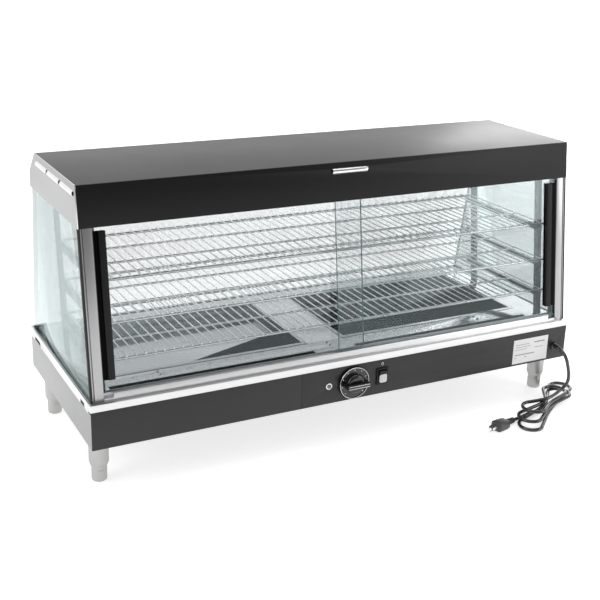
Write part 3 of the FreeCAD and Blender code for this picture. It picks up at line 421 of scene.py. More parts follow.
PLATE_PRINT = Enamel("rating_plate_print", (0.24, 0.24, 0.25), 0.45, peel=0.05)
# Bright steel for the fascia's louvre insert; on the end caps' louvres and rim it is a painted highlight.
LOUVRE_STEEL_AND_CAP_HIGHLIGHT = Plated("louvre_steel_and_cap_highlight", (0.86, 0.86, 0.86), 0.22)
CORD_RUBBER = Moulded("cord_rubber", (0.009, 0.009, 0.009), 0.25, texture=0.05, gloss=1.0)
PLUG_RUBBER = Moulded("plug_rubber", (0.05, 0.05, 0.051), 0.34, texture=0.15)
PRONG_BRASS = Plated("prong_nickel", (0.72, 0.71, 0.68), 0.2)
PANE_GLASS = Pane("pane_glass", (0.7, 0.8, 0.81), 0.02, body=0.05, mirror=0.85)
SIDE_PANE = Pane("side_pane_glass", (0.62, 0.72, 0.72), 0.02, body=0.06, mirror=0.7)
REAR_PANE = Pane("rear_pane_glass", (0.78, 0.87, 0.87), 0.02, body=0.24, mirror=0.85)
PANE_EDGE = Pane("pane_edge_glass", (0.1, 0.2, 0.19), 0.1, body=0.72, mirror=0.9, metallic=0.0)


# ---------------------------------------------------------------- building meshes
WELD_GAP = 2e-6                        # metres
FLAT_BELOW, SHARP_ABOVE = 0.6, 28.0    # degrees between two faces of a CAD node
SMOOTH_BELOW = 50.0                    # degrees


def case_point(x: float, y: float, z: float) -> Vector:
    """Gives a point that is stated in millimetres about the case's own centre plane."""
    return Vector((x * MM, y * MM + SHIFT_Y, z * MM))


def link(name: str, data: bpy.types.ID) -> Piece:
    """Puts a mesh or curve in the scene as an object at the origin."""
    made = bpy.data.objects.new(name, data)
    bpy.context.scene.collection.objects.link(made)
    return made


def from_bmesh(name: str, bm: Mesh, smooth_below: float | None = None) -> Piece:
    """Turns a bmesh into an object.

    Args:
        name: the piece's name.
        bm: the mesh, which is freed.
        smooth_below: edges flatter than this, in degrees, are shaded smooth.

    Returns:
        The object.
    """
    bmesh.ops.recalc_face_normals(bm, faces=bm.faces)
    data = bpy.data.meshes.new(name)
    bm.to_mesh(data)
    bm.free()
    if smooth_below is not None:
        data.shade_smooth()
        data.set_sharp_from_angle(angle=math.radians(smooth_below))
    return link(name, data)


def wear(piece: Piece, body: str, slot: str, *nodes: str) -> Piece:
    """Makes a piece ride on its body, and hides the CAD nodes that it replaces.

    Args:
        piece: the piece.
        body: the CAD body that it rides on.
        slot: not used.
        nodes: the CAD nodes that it replaces.

    Returns:
        The piece.
    """
    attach(piece, body)
    if nodes:
        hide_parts(*nodes)
    faces = len(piece.data.polygons) if piece.type == "MESH" else 0
    LOG.info("%s rides on %s, %d faces", piece.name, body, faces)
    return piece


def dress(node: str, finish: Finish) -> None:
    """Gives a CAD node its finish."""
    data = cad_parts[node].data
    data.materials.clear()
    data.materials.append(finish.material())
    LOG.info("%s wears %s", node, finish.name)


def finished(name: str, bm: Mesh, smooth_below: float, finish: Finish, body: str, slot: str,
             *nodes: str) -> Piece:
    """Turns a bmesh into a piece with its finish, on its body.

    Args:
        name: the piece's name.
        bm: the mesh, which is freed.
        smooth_below: edges flatter than this, in degrees, are shaded smooth.
        finish: its finish.
        body: the CAD body that it rides on.
        slot: passed on to wear, which does not use it.
        nodes: the CAD nodes that it replaces.

    Returns:
        The piece.
    """
    piece = from_bmesh(name, bm, smooth_below)
    piece.data.materials.append(finish.material())
    return wear(piece, body, slot, *nodes)


def softened(node: str, finish: Finish, slot: str, edge: float = 0.35, body: str = "case",
             choose: Callable[[bmesh.types.BMFace], int] | None = None,
             extra: Sequence[Finish] = ()) -> Piece:
    """Stands a copy with broken edges in for a CAD node.

    Args:
        node: the CAD node.
        finish: its finish.
        slot: passed on to wear, which does not use it.
        edge: how far its edges are broken, in millimetres.
        body: the body that it rides on.
        choose: gives the number of a face's finish, where there is more than one.
        extra: the further finishes.

    Returns:
        The new piece.
    """
    bm = bmesh.new()
    bm.from_mesh(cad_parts[node].data)
    bmesh.ops.remove_doubles(bm, verts=bm.verts, dist=WELD_GAP)
    bmesh.ops.dissolve_limit(bm, angle_limit=math.radians(FLAT_BELOW), verts=bm.verts, edges=bm.edges)
    sharp = [e for e in bm.edges if len(e.link_faces) == 2 and e.calc_face_angle(0.0) > math.radians(SHARP_ABOVE)]
    bmesh.ops.bevel(bm, geom=sharp, offset=edge * MM, segments=2, profile=0.6, affect="EDGES",
                    clamp_overlap=True)
    if choose is not None:
        for face in bm.faces:
            face.material_index = choose(face)
    piece = from_bmesh(node + "_formed", bm, smooth_below=SMOOTH_BELOW)
    for each in (finish, *extra):
        piece.data.materials.append(each.material())
    return wear(piece, body, slot, node)


def lathe(bm: Mesh, profile: Sequence[tuple[float, float]], place: Matrix, steps: int = 40) -> None:
    """Turns a profile about an axis into a closed skin.

    Args:
        bm: the mesh to add to.
        profile: (radius, height) points in millimetres, from one end of the axis to the other, or all round
            a ring's section and back to the first.
        place: takes the local Z axis to where the piece stands.
        steps: how many sides the circle has.
    """
    is_ring = profile[0] == profile[-1]
    rings = []
    for radius, height in ((r * MM, h * MM) for r, h in (profile[:-1] if is_ring else profile)):
        if radius == 0.0:
            rings.append([bm.verts.new(place @ Vector((0, 0, height)))])
            continue
        rings.append([bm.verts.new(place @ Vector((radius * math.cos(t), radius * math.sin(t), height)))
                      for t in (2 * math.pi * i / steps for i in range(steps))])
    if is_ring:
        rings.append(rings[0])
    for lower, upper in zip(rings, rings[1:]):
        for i in range(steps):
            j = (i + 1) % steps
            corners = [lower[i % len(lower)], lower[j % len(lower)], upper[j % len(upper)], upper[i % len(upper)]]
            unique = list(dict.fromkeys(corners))
            if len(unique) > 2:
                bm.faces.new(unique)
    for ring in () if is_ring else (rings[0], rings[-1]):
        if len(ring) > 2:
            bm.faces.new(ring)


def loft(bm: Mesh, sections: Sequence[tuple[float, float, float, float]], place: Matrix,
         steps: int = 32) -> None:
    """Joins rounded-rectangle sections along the local X axis into a closed skin.

    Args:
        bm: the mesh to add to.
        sections: (distance, half width, half height, squareness) of each section, in millimetres.
        place: takes the local axes to where the piece is.
        steps: how many points each section has.
    """
    rings = []
    for *sizes, squareness in sections:
        distance, half_w, half_h = (size * MM for size in sizes)
        ring, power = [], 2.0 / squareness
        for i in range(steps):
            t = 2 * math.pi * (i + 0.5) / steps
            c, s = math.cos(t), math.sin(t)
            y = half_w * math.copysign(abs(c) ** power, c)
            z = half_h * math.copysign(abs(s) ** power, s)
            ring.append(bm.verts.new(place @ Vector((distance, y, z))))
        rings.append(ring)
    for lower, upper in zip(rings, rings[1:]):
        for i in range(steps):
            j = (i + 1) % steps
            bm.faces.new([lower[i], lower[j], upper[j], upper[i]])
    bm.faces.new(rings[0])
    bm.faces.new(rings[-1])


def block(bm: Mesh, low: Vector, high: Vector, edge: float, segments: int = 3) -> None:
    """Adds a block with rounded edges.

    Args:
        bm: the mesh to add to.
        low: its lowest corner.
        high: its highest corner.
        edge: the radius of its edges, in millimetres.
        segments: how many steps round each edge.
    """
    part = bmesh.new()
    bmesh.ops.create_cube(part, size=1.0)
    for v in part.verts:
        v.co = Vector(low[i] if v.co[i] < 0 else high[i] for i in range(3))
    bmesh.ops.bevel(part, geom=part.edges, offset=edge * MM, segments=segments, profile=0.5, affect="EDGES",
                    clamp_overlap=True)
    verts = {v: bm.verts.new(v.co) for v in part.verts}
    for face in part.faces:
        bm.faces.new([verts[v] for v in face.verts])
    part.free()


def along(start: Vector, way: Vector) -> Matrix:
    """Gives the placement that takes the local Z axis to a direction from a point."""
    return Matrix.Translation(start) @ way.to_track_quat("Z", "Y").to_matrix().to_4x4()


# ---------------------------------------------------------------- repeated things
def grown(name: str, tree: Tree, settings: dict, points: Sequence[Vector] = ((0, 0, 0),),
          outward: Sequence[Vector] = ()) -> Piece:
    """Runs a Geometry Nodes tree and keeps its result as a plain mesh.

    Args:
        name: the piece's name.
        tree: the tree.
        settings: its inputs by name.
        points: the vertices that it starts from.
        outward: a direction for each of them.

    Returns:
        The finished piece.
    """
    seedling = bpy.data.meshes.new(name + "_start")
    seedling.from_pydata([tuple(p) for p in points], [], [])
    if outward:
        ways = seedling.attributes.new("outward", "FLOAT_VECTOR", "POINT")
        for i, way in enumerate(outward):
            ways.data[i].vector = way
    holder = link(name + "_holder", seedling)
    modifier = holder.modifiers.new("grow", "NODES")
    modifier.node_group = tree
    sockets = {s.name: s.identifier for s in tree.interface.items_tree
               if s.item_type == "SOCKET" and s.in_out == "INPUT"}
    for label, value in settings.items():
        modifier[sockets[label]] = value
    depsgraph = bpy.context.evaluated_depsgraph_get()
    data = bpy.data.meshes.new_from_object(holder.evaluated_get(depsgraph), depsgraph=depsgraph)
    holder.modifiers.remove(modifier)
    bpy.data.objects.remove(holder)
    data.name = name
    return link(name, data)


def round_bar(graph: Graph, start: object, end: object, radius: object, sides: int = 8) -> Socket:
    """Adds a straight round bar with closed ends to a Geometry Nodes tree.

    Args:
        graph: the tree's graph.
        start: one end.
        end: the other end.
        radius: its radius.
        sides: how many sides it has.

    Returns:
        Its geometry.
    """
    line = graph.put("GeometryNodeCurvePrimitiveLine", {"Start": start, "End": end})
    ring = graph.put("GeometryNodeCurvePrimitiveCircle", {"Resolution": sides, "Radius": radius})
    return graph.put("GeometryNodeCurveToMesh", {"Curve": line, "Profile Curve": ring, "Fill Caps": True})


def growing_tree(name: str, inputs: dict) -> tuple[Graph, dict, dict]:
    """Starts a Geometry Nodes tree that takes a geometry, its own inputs and a finish.

    Args:
        name: the tree's name.
        inputs: each input's name, with its socket type and its value.

    Returns:
        The graph, the inputs' sockets and the outputs' sockets.
    """
    every = {"Geometry": (GEOMETRY, None), **inputs, "Finish": (MATERIAL, None)}
    return new_group(name, every, {"Geometry": GEOMETRY}, "GeometryNodeTree")


def close_tree(graph: Graph, geometry: Socket, finish: object, out: Socket) -> None:
    """Ends a tree: instances are made real, smoothed and given their material."""
    real = graph.put("GeometryNodeRealizeInstances", {"Geometry": geometry})
    smooth = graph.put("GeometryNodeSetShadeSmooth", {"Geometry": real, "Shade Smooth": True})
    graph.feed(out, graph.put("GeometryNodeSetMaterial", {"Geometry": smooth, "Material": finish}))


def rack_tree() -> Tree:
    """Builds the tree of a wire shelf: a row of wires on cross rods."""
    graph, ins, outs = growing_tree("wire_rack", {
        "Origin": (VECTOR, (0.0, 0.0, 0.0)), "Wires": (INTEGER, 55),
        "Half Width": (FLOAT, 0.556), "Depth": (FLOAT, 0.3), "Overhang": (FLOAT, 0.0032),
        "Wire Radius": (FLOAT, 0.0015), "Rods": (INTEGER, 2), "Rod Radius": (FLOAT, 0.0024),
        "Rod Half Length": (FLOAT, 0.556), "Rail Radius": (FLOAT, 0.0032), "Rail Half Length": (FLOAT, 0.573),
        "Weld": (FLOAT, 0.0003)})

    def vector(x: object = 0.0, y: object = 0.0, z: object = 0.0) -> Socket:
        """Joins three values to a vector."""
        return graph.put("ShaderNodeCombineXYZ", {0: x, 1: y, 2: z})

    def minus(value: object) -> Socket:
        """Turns a value's sign round."""
        return graph.math("MULTIPLY", value, -1.0)

    def row(count: object, start: object, step: object, bar: Socket) -> Socket:
        """Repeats a bar in a row."""
        line = graph.put("GeometryNodeMeshLine", {"Count": count, "Start Location": start, "Offset": step})
        return graph.put("GeometryNodeInstanceOnPoints", {"Points": line, "Instance": bar})

    width = ins["Half Width"]
    steps = graph.math("SUBTRACT", ins["Wires"], 1.0)
    pitch = graph.math("DIVIDE", graph.math("MULTIPLY", width, 2.0), steps)
    wire = round_bar(graph, vector(y=minus(ins["Overhang"])),
                     vector(y=graph.math("ADD", ins["Depth"], ins["Overhang"])), ins["Wire Radius"])
    wires = row(ins["Wires"], vector(x=minus(width)), vector(x=pitch), wire)
    parts = [wires]
    for count, radius, half, gap in (
            (ins["Rods"], ins["Rod Radius"], ins["Rod Half Length"],
             graph.math("DIVIDE", ins["Depth"], graph.math("ADD", ins["Rods"], 1.0))),
            (2, ins["Rail Radius"], ins["Rail Half Length"], ins["Depth"])):
        drop = minus(graph.math("SUBTRACT", graph.math("ADD", radius, ins["Wire Radius"]), ins["Weld"]))
        bar = round_bar(graph, vector(x=minus(half)), vector(x=half), radius, sides=12)
        first = gap if count is ins["Rods"] else 0.0
        parts.append(row(count, vector(y=first, z=drop), vector(y=gap), bar))
    joined = graph.add("GeometryNodeJoinGeometry")
    for part in parts:
        graph.tree.links.new(part, joined.inputs[0])
    placed = graph.put("GeometryNodeTransform", {"Geometry": joined.outputs[0], "Translation": ins["Origin"]})
    close_tree(graph, placed, ins["Finish"], outs["Geometry"])
    return graph.tree


def screw_tree() -> Tree:
    """Builds the tree of cross-head screws: one on each point, facing the way that it is given."""
    graph, ins, outs = growing_tree("cross_head_screws", {
        "Head Radius": (FLOAT, 0.004), "Head Height": (FLOAT, 0.0022), "Recess Width": (FLOAT, 0.0011),
        "Seed": (INTEGER, SEED)})
    radius, height = ins["Head Radius"], ins["Head Height"]
    cone = graph.put("GeometryNodeMeshCone", {"Vertices": 20, "Side Segments": 1, "Radius Bottom": radius,
                                              "Radius Top": graph.math("MULTIPLY", radius, 0.72),
                                              "Depth": height})
    arm = graph.math("MULTIPLY", radius, 1.1)
    deep = graph.math("MULTIPLY", height, 0.9)
    bars = graph.add("GeometryNodeJoinGeometry")
    for size in ((arm, ins["Recess Width"]), (ins["Recess Width"], arm)):
        cube = graph.put("GeometryNodeMeshCube", {
            "Size": graph.put("ShaderNodeCombineXYZ", {0: size[0], 1: size[1], 2: deep})})
        lifted = graph.put("GeometryNodeTransform", {
            "Geometry": cube, "Translation": graph.put("ShaderNodeCombineXYZ", {2: height})})
        graph.tree.links.new(lifted, bars.inputs[0])
    head = graph.put("GeometryNodeMeshBoolean", {"Mesh 1": cone, "Mesh 2": bars.outputs[0]},
                     operation="DIFFERENCE")
    way = graph.add("GeometryNodeInputNamedAttribute", data_type="FLOAT_VECTOR")
    way.inputs["Name"].default_value = "outward"
    turn = graph.put("FunctionNodeAlignRotationToVector", {"Vector": way.outputs["Attribute"]}, axis="Z")
    spin = graph.put("FunctionNodeRandomValue", {"Min": (0.0, 0.0, 0.0), "Max": (0.0, 0.0, 1.5),
                                                 "Seed": ins["Seed"]}, data_type="FLOAT_VECTOR")
    faced = graph.put("FunctionNodeRotateRotation", {0: turn, 1: graph.put(
        "FunctionNodeEulerToRotation", {0: spin})}, rotation_space="LOCAL")
    placed = graph.put("GeometryNodeInstanceOnPoints", {"Points": ins["Geometry"], "Instance": head,
                                                        "Rotation": faced})
    real = graph.put("GeometryNodeRealizeInstances", {"Geometry": placed})
    graph.feed(outs["Geometry"], graph.put("GeometryNodeSetMaterial", {"Geometry": real,
                                                                       "Material": ins["Finish"]}))
    return graph.tree


def marks_tree() -> Tree:
    """Builds the tree of a dial's marks: flat dots on an arc, facing -Y."""
    graph, ins, outs = growing_tree("dial_marks", {
        "Centre": (VECTOR, (0.0, 0.0, 0.0)), "Radius": (FLOAT, 0.033), "Marks": (INTEGER, 11),
        "Start": (FLOAT, 0.0), "Sweep": (FLOAT, 4.7), "Dot": (FLOAT, 0.0011), "Thickness": (FLOAT, 0.0003)})
    arc = graph.put("GeometryNodeCurveArc", {"Resolution": ins["Marks"], "Radius": ins["Radius"],
                                             "Start Angle": ins["Start"], "Sweep Angle": ins["Sweep"]})
    dot = graph.put("GeometryNodeMeshCylinder", {"Vertices": 12, "Radius": ins["Dot"],
                                                 "Depth": ins["Thickness"]})
    row = graph.put("GeometryNodeInstanceOnPoints", {
        "Points": graph.put("GeometryNodeCurveToPoints", {"Curve": arc}, mode="EVALUATED"), "Instance": dot})
    placed = graph.put("GeometryNodeTransform", {"Geometry": row, "Translation": ins["Centre"],
                                                 "Rotation": (math.radians(90), 0.0, 0.0)})
    close_tree(graph, placed, ins["Finish"], outs["Geometry"])
    return graph.tree


def ribs_tree() -> Tree:
    """Builds the tree of a bend relief's ribs: rings that grow along the local X axis."""
    graph, ins, outs = growing_tree("relief_ribs", {
        "Ribs": (INTEGER, 5), "Pitch": (FLOAT, 0.006), "First Radius": (FLOAT, 0.006), "Growth": (FLOAT, 0.0004),
        "Thickness": (FLOAT, 0.0012), "Origin": (VECTOR, (0.0, 0.0, 0.0)), "Turn": (VECTOR, (0.0, 0.0, 0.0))})
    line = graph.put("GeometryNodeMeshLine", {
        "Count": ins["Ribs"], "Offset": graph.put("ShaderNodeCombineXYZ", {0: ins["Pitch"]})})
    ring = graph.put("GeometryNodeCurvePrimitiveCircle", {"Resolution": 28, "Radius": ins["First Radius"]})
    section = graph.put("GeometryNodeCurvePrimitiveCircle", {"Resolution": 8, "Radius": ins["Thickness"]})
    rib = graph.put("GeometryNodeCurveToMesh", {"Curve": ring, "Profile Curve": section})
    count = graph.put("GeometryNodeInputIndex", {})
    size = graph.math("ADD", graph.math("MULTIPLY", graph.math("DIVIDE", ins["Growth"], ins["First Radius"]),
                                        count), 1.0)
    row = graph.put("GeometryNodeInstanceOnPoints", {
        "Points": line, "Instance": rib, "Rotation": (0.0, math.radians(90), 0.0), "Scale": size})
    placed = graph.put("GeometryNodeTransform", {"Geometry": row, "Translation": ins["Origin"],
                                                 "Rotation": ins["Turn"]})
    close_tree(graph, placed, ins["Finish"], outs["Geometry"])
    return graph.tree


# ---------------------------------------------------------------- the studio
@dataclass
class Studio:
    """The camera, the lights and the floor."""

    place: Vector = field(default_factory=lambda: Vector((-1.1444, -2.1095, 1.1374)))
    azimuth: float = -27.87
    elevation: float = 18.39
    roll: float = 1.67
    lens: float = 63.83
    sensor: float = 36.0
    shift_y: float = -0.05
    floor_half: float = 9.0
    floor_glow: float = 0.62
    front_level: float = 0.22
    back_level: float = 1.05
    sky_from: float = -0.85
    sky_to: float = 0.35

    def camera(self) -> None:
        """Sets up the camera."""
        data = bpy.data.cameras.new("front_camera")
        data.lens = self.lens
        data.sensor_width = self.sensor
        data.shift_y = self.shift_y
        data.clip_start, data.clip_end = 0.05, 60.0
        camera = link("front_camera", data)
        a, e = math.radians(self.azimuth), math.radians(self.elevation)
        back = Vector((math.sin(a) * math.cos(e), -math.cos(a) * math.cos(e), math.sin(e)))
        right = (-back).cross(Vector((0, 0, 1))).normalized()
        up = right.cross(-back)
        c, s = math.cos(math.radians(self.roll)), math.sin(math.radians(self.roll))
        turn = Matrix((c * right + s * up, -s * right + c * up, back)).transposed()
        camera.matrix_world = Matrix.Translation(self.place) @ turn.to_4x4()
        bpy.context.scene.camera = camera

    def panel(self, name: str, place: Vector, target: Vector, size: tuple[float, float], power: float) -> None:
        """Hangs one soft light.

        Args:
            name: its name.
            place: where it hangs.
            target: what it faces.
            size: its width and height.
            power: its power in watts.
        """
        data = bpy.data.lights.new(name, "AREA")
        data.shape = "RECTANGLE"
        data.size, data.size_y = size
        data.energy = power
        light = link(name, data)
        light.matrix_world = along(place, place - target)
        light.visible_camera = False

    def lights(self) -> None:
        """Hangs the lights."""
        middle = Vector((0.0, 0.0, 0.3))
        self.panel("overhead_softbox", Vector((0.3, 0.6, 3.2)), middle, (3.0, 2.0), 26.0)
        self.panel("left_softbox", Vector((-3.2, -0.6, 1.7)), middle, (1.6, 2.0), 20.0)
        self.panel("right_softbox", Vector((2.9, -2.3, 1.2)), Vector((0.3, 0.0, 0.4)), (1.5, 1.6), 26.0)
        self.panel("back_softbox", Vector((3.4, 2.3, 1.35)), Vector((0.5, 0.0, 0.6)), (2.2, 1.3), 30.0)

    def sky(self) -> None:
        """Makes the room's light, which is bright behind the case and dim in front of it."""
        world = bpy.data.worlds.new("studio_sky")
        world.use_nodes = True
        graph = Graph(world.node_tree)
        way = graph.put("ShaderNodeSeparateXYZ", {"Vector": graph.add("ShaderNodeTexCoord").outputs["Generated"]},
                        output=1)
        level = graph.put("ShaderNodeMapRange", {"Value": way, "From Min": self.sky_from, "From Max": self.sky_to,
                                                 "To Min": self.front_level, "To Max": self.back_level})
        sky = world.node_tree.nodes["Background"]
        sky.inputs["Color"].default_value = (1.0, 1.0, 1.0, 1.0)
        graph.feed(sky.inputs["Strength"], level)
        bpy.context.scene.world = world
        bpy.context.scene.view_settings.view_transform = "Standard"

    def floor(self) -> None:
        """Lays the floor."""
        bm = bmesh.new()
        bmesh.ops.create_grid(bm, x_segments=8, y_segments=8, size=self.floor_half)
        sheet = from_bmesh("studio_floor", bm)
        paper = Enamel("floor_paper", (0.8, 0.8, 0.8), 0.9, peel=0.02, gloss=0.1, glow=self.floor_glow)
        sheet.data.materials.append(paper.material())


# ---------------------------------------------------------------- the mains lead
@dataclass
class Lobe:
    """One fold of the lead's hank.

    Args:
        angle: its direction from the waist, in degrees.
        reach: how far its tip is from the waist, in millimetres.
        heights: the height of the cord's axis going out, at the tip and coming back, in millimetres.
    """

    angle: float
    reach: float
    heights: tuple[float, float, float]


@dataclass
class MainsLead:
    """The lead, from its strain relief to its plug. Its sizes are in millimetres."""

    diameter: float = 8.5
    length: float = 1.95
    fold_radius: float = 27.0
    waist: tuple[float, float] = (516.0, -307.0)
    waist_angle: float = 28.0
    slot: float = 4.6
    drop: tuple = ((576, -239, 136), (576, -253, 136), (576, -272, 134.5), (577, -288, 120), (582, -291, 99),
                   (588, -291, 77), (588, -290, 54), (573, -287, 38), (550, -293, 33))
    lead: tuple = ((466, -305, 4.6), (441, -312, 4.6), (418, -320, 5.2), (396, -327, 8.2))
    lobes: tuple = (
        Lobe(193.0, 88.0, (28.0, 26.0, 23.0)), Lobe(39.0, 106.0, (22.5, 22.0, 22.5)),
        Lobe(202.0, 120.0, (20.0, 15.0, 13.6)), Lobe(32.0, 116.0, (13.5, 13.5, 13.5)),
        Lobe(209.0, 140.0, (12.0, 4.5, 4.5)), Lobe(38.0, 174.0, (4.5, 4.5, 4.5)))
    crossings: tuple = ((0.3, 32.0), (-1.0, 22.5), (1.0, 22.5), (-1.0, 13.5), (1.0, 13.5), (-1.0, 4.5), (1.0, 4.5))
    plug_heading: float = 195.0
    plug_tilt: float = 0.055
    relief_ribs: int = 4

    def waist_point(self, side: float, height: float) -> Vector:
        """Gives a crossing's point at the waist, on one side of the waist's middle."""
        across = math.radians(self.waist_angle + 90.0)
        return case_point(self.waist[0] + side * self.slot * math.cos(across),
                          self.waist[1] + side * self.slot * math.sin(across), height)

    def fold(self, lobe: Lobe) -> list[Vector]:
        """Gives the control points of one fold, from near the waist, round its tip and back.

        Args:
            lobe: the fold.

        Returns:
            Its points.
        """
        way = math.radians(lobe.angle)
        radius = self.fold_radius
        centre = lobe.reach - self.diameter / 2 - radius
        lean = math.asin(radius / math.hypot(centre, self.slot)) - math.atan2(self.slot, centre)
        start = -(math.pi / 2 + lean)
        half = -start / 4
        corner, arm = radius / math.cos(half), radius * math.tan(half)
        flat = [(centre + radius * math.cos(start) - arm * math.cos(lean),
                 radius * math.sin(start) + arm * math.sin(lean), 0.45)]
        flat += [(centre + corner * math.cos(start + (2 * i + 1) * half),
                  corner * math.sin(start + (2 * i + 1) * half), 0.8 + 0.2 * i) for i in range(2)]
        outward, tip, inward = lobe.heights
        made = [(d, s, outward + (tip - outward) * w) for d, s, w in flat]
        made += [(d, -s, inward + (tip - inward) * w) for d, s, w in reversed(flat)]
        return [case_point(self.waist[0] + d * math.cos(way) - s * math.sin(way),
                           self.waist[1] + d * math.sin(way) + s * math.cos(way), z) for d, s, z in made]

    def route(self) -> list[Vector]:
        """Gives the control points of the whole lead."""
        points = [case_point(*p) for p in self.drop]
        for lobe, crossing in zip(self.lobes, self.crossings):
            points.append(self.waist_point(*crossing))
            points += self.fold(lobe)
        points.append(self.waist_point(*self.crossings[-1]))
        return points + [case_point(*p) for p in self.lead]

    def cord(self) -> None:
        data = bpy.data.curves.new("mains_cord", "CURVE")
        data.dimensions = "3D"
        spline = data.splines.new("NURBS")
        points = self.route()
        spline.points.add(len(points) - 1)
        for point, place in zip(spline.points, points):
            point.co = (*place, 1.0)
        spline.order_u = 3
        spline.use_endpoint_u = True
        data.resolution_u = 10
        data.bevel_depth = self.diameter / 2 * MM
        data.bevel_resolution = 4
        data.use_fill_caps = True
        piece = link("mains_cord", data)
        data.materials.append(CORD_RUBBER.material())
        wear(piece, "case", "cord_jacket", "power_cord", "cord_hank", "plug_lead")

    def relief(self) -> Piece:
        """Makes the ribbed strain relief that holds the cord in the panel."""
        bm = bmesh.new()
        profile = [(0.0, -12.0), (6.8, -12.0), (6.8, 0.0), (9.5, 0.0), (9.5, 2.6), (8.6, 3.6), (7.4, 4.2)]
        for i in range(self.relief_ribs):
            z, radius = 5.0 + i * 3.9, 7.4 - 0.42 * i
            profile += [(radius, z), (radius, z + 2.4), (radius - 1.1, z + 2.9), (radius - 1.1, z + 3.5)]
        profile += [(4.7, 21.0), (4.4, 21.6), (0.0, 21.6)]
        lathe(bm, profile, along(case_point(*self.drop[0]), FRONT), 32)
        return finished("cord_relief", bm, 30.0, CORD_RUBBER, "case", "cord_jacket", "strain_relief")

    def plug(self) -> list[Piece]:
        """Makes the plug's moulded body and its ribbed neck.

        Returns:
            The pieces.
        """
        start = case_point(*self.lead[-1])
        place = (Matrix.Translation(start) @ Matrix.Rotation(math.radians(self.plug_heading), 4, "Z")
                 @ Matrix.Rotation(-math.atan(self.plug_tilt), 4, "Y"))
        sections = [
            (-1.0, 4.6, 4.6, 2.0), (0.0, 5.2, 5.2, 2.0), (26.0, 6.4, 6.2, 2.0), (29.0, 6.8, 6.4, 2.2),
            (30.0, 12.2, 8.6, 4.0), (32.0, 13.6, 9.5, 5.0), (40.0, 14.0, 10.2, 6.0), (52.0, 14.0, 10.9, 7.0),
            (66.0, 14.0, 10.9, 7.0), (67.2, 13.8, 10.8, 7.0), (67.6, 13.2, 10.2, 7.0), (68.4, 13.2, 10.2, 7.0),
            (68.8, 13.8, 10.8, 7.0), (69.6, 13.8, 10.8, 7.0), (70.0, 13.3, 10.3, 7.0)]
        bm = bmesh.new()
        loft(bm, sections, place, 36)
        body = finished("plug_moulding", bm, 40.0, PLUG_RUBBER, "case", "cord_jacket", "plug_body")
        origin = place @ Vector((5.0 * MM, 0, 0))
        ribs = grown("plug_neck_ribs", ribs_tree(), {
            "Ribs": 3, "Pitch": 8.0 * MM, "First Radius": 5.2 * MM, "Growth": 0.3 * MM,
            "Thickness": 2.0 * MM, "Origin": origin, "Turn": place.to_euler(),
            "Finish": PLUG_RUBBER.material()})
        wear(ribs, "case", "cord_jacket")
        return [body, ribs]

    def build(self) -> None:
        """Makes every piece of the lead."""
        pieces = [self.relief(), *self.plug()]
        dress("plug_prongs", PRONG_BRASS)
        self.cord()


# ---------------------------------------------------------------- the base
@dataclass
class HeatedBase:
    """The base with its panels, trims, deck, water pans and heaters."""

    leg_x: float = 578.0
    leg_y: float = 176.0
    spindle: float = 6.0

    def panels(self) -> None:
        """Makes the outer panels and the trims."""
        for node, finish, slot in (
                ("base_front_panel", PANEL_ENAMEL, "steel_black"), ("control_panel", PANEL_ENAMEL, "steel_black"),
                ("base_rear_panel", REAR_STEEL, "steel_brushed"), ("base_side_left", SIDE_STEEL, "steel_brushed"),
                ("base_side_right", SIDE_STEEL, "steel_brushed"), ("trim_front", TRIM_STEEL, "steel_brushed"),
                ("trim_rear", TRIM_STEEL, "steel_brushed"), ("trim_left", SIDE_TRIM_STEEL, "steel_brushed"),
                ("trim_right", SIDE_TRIM_STEEL, "steel_brushed")):
            softened(node, finish, slot)

    def inside(self) -> None:
        """Makes the deck, and dresses what is below it."""
        for node, finish in (("humidity_pan_left", PAN_STEEL), ("humidity_pan_right", PAN_STEEL),
                             ("deck", DECK_STEEL)):
            softened(node, finish, "steel_brushed", edge=0.3)
        for node, finish in (("base_pan", PAN_PAINT), ("control_shield", PLATED_STEEL),
                             ("heating_elements", ELEMENT_SHEATH), ("terminal_block", PORCELAIN),
                             ("thermostat_body", SWITCH_BLACK)):
            dress(node, finish)

    def legs(self) -> None:
        """Turns the leg barrels and the screw feet."""
        bore = self.spindle + 0.3
        barrel = [(0.0, 82.0), (bore, 82.0), (bore, 36.0), (18.0, 36.0), (20.8, 43.6), (21.0, 44.6), (21.0, 102.0),
                  (5.0, 102.0), (5.0, 112.0), (0.0, 112.0)]
        foot = [(0.0, 0.0), (11.5, 0.0), (13.6, 0.5), (15.4, 1.7), (16.3, 3.3), (16.5, 5.0), (16.5, 27.0),
                (16.1, 27.5), (16.1, 28.6), (16.5, 29.1), (16.5, 35.0), (16.0, 35.8)]
        foot += [(self.spindle - 0.6 * (i % 2), 35.8 + i) for i in range(43)] + [(0.0, 78.0)]

        barrels = bmesh.new()
        for side_x, side in ((-1, "left"), (1, "right")):
            for side_y, end in ((-1, "front"), (1, "rear")):
                centre = Matrix.Translation(case_point(side_x * self.leg_x, side_y * self.leg_y, 0.0))
                lathe(barrels, barrel, centre, 56)
                pad = bmesh.new()
                lathe(pad, foot, centre, 56)
                finished(f"screw_foot_{end}_{side}", pad, 30.0, LEG_STEEL, f"{end}_{side}_foot", "leg_metal",
                         f"foot_{end}_{side}")
        finished("turned_leg_barrels", barrels, 30.0, LEG_STEEL, "case", "leg_metal", "leg_barrels")

    def build(self) -> None:
        """Makes the whole base."""
        self.panels()
        self.inside()
        self.legs()


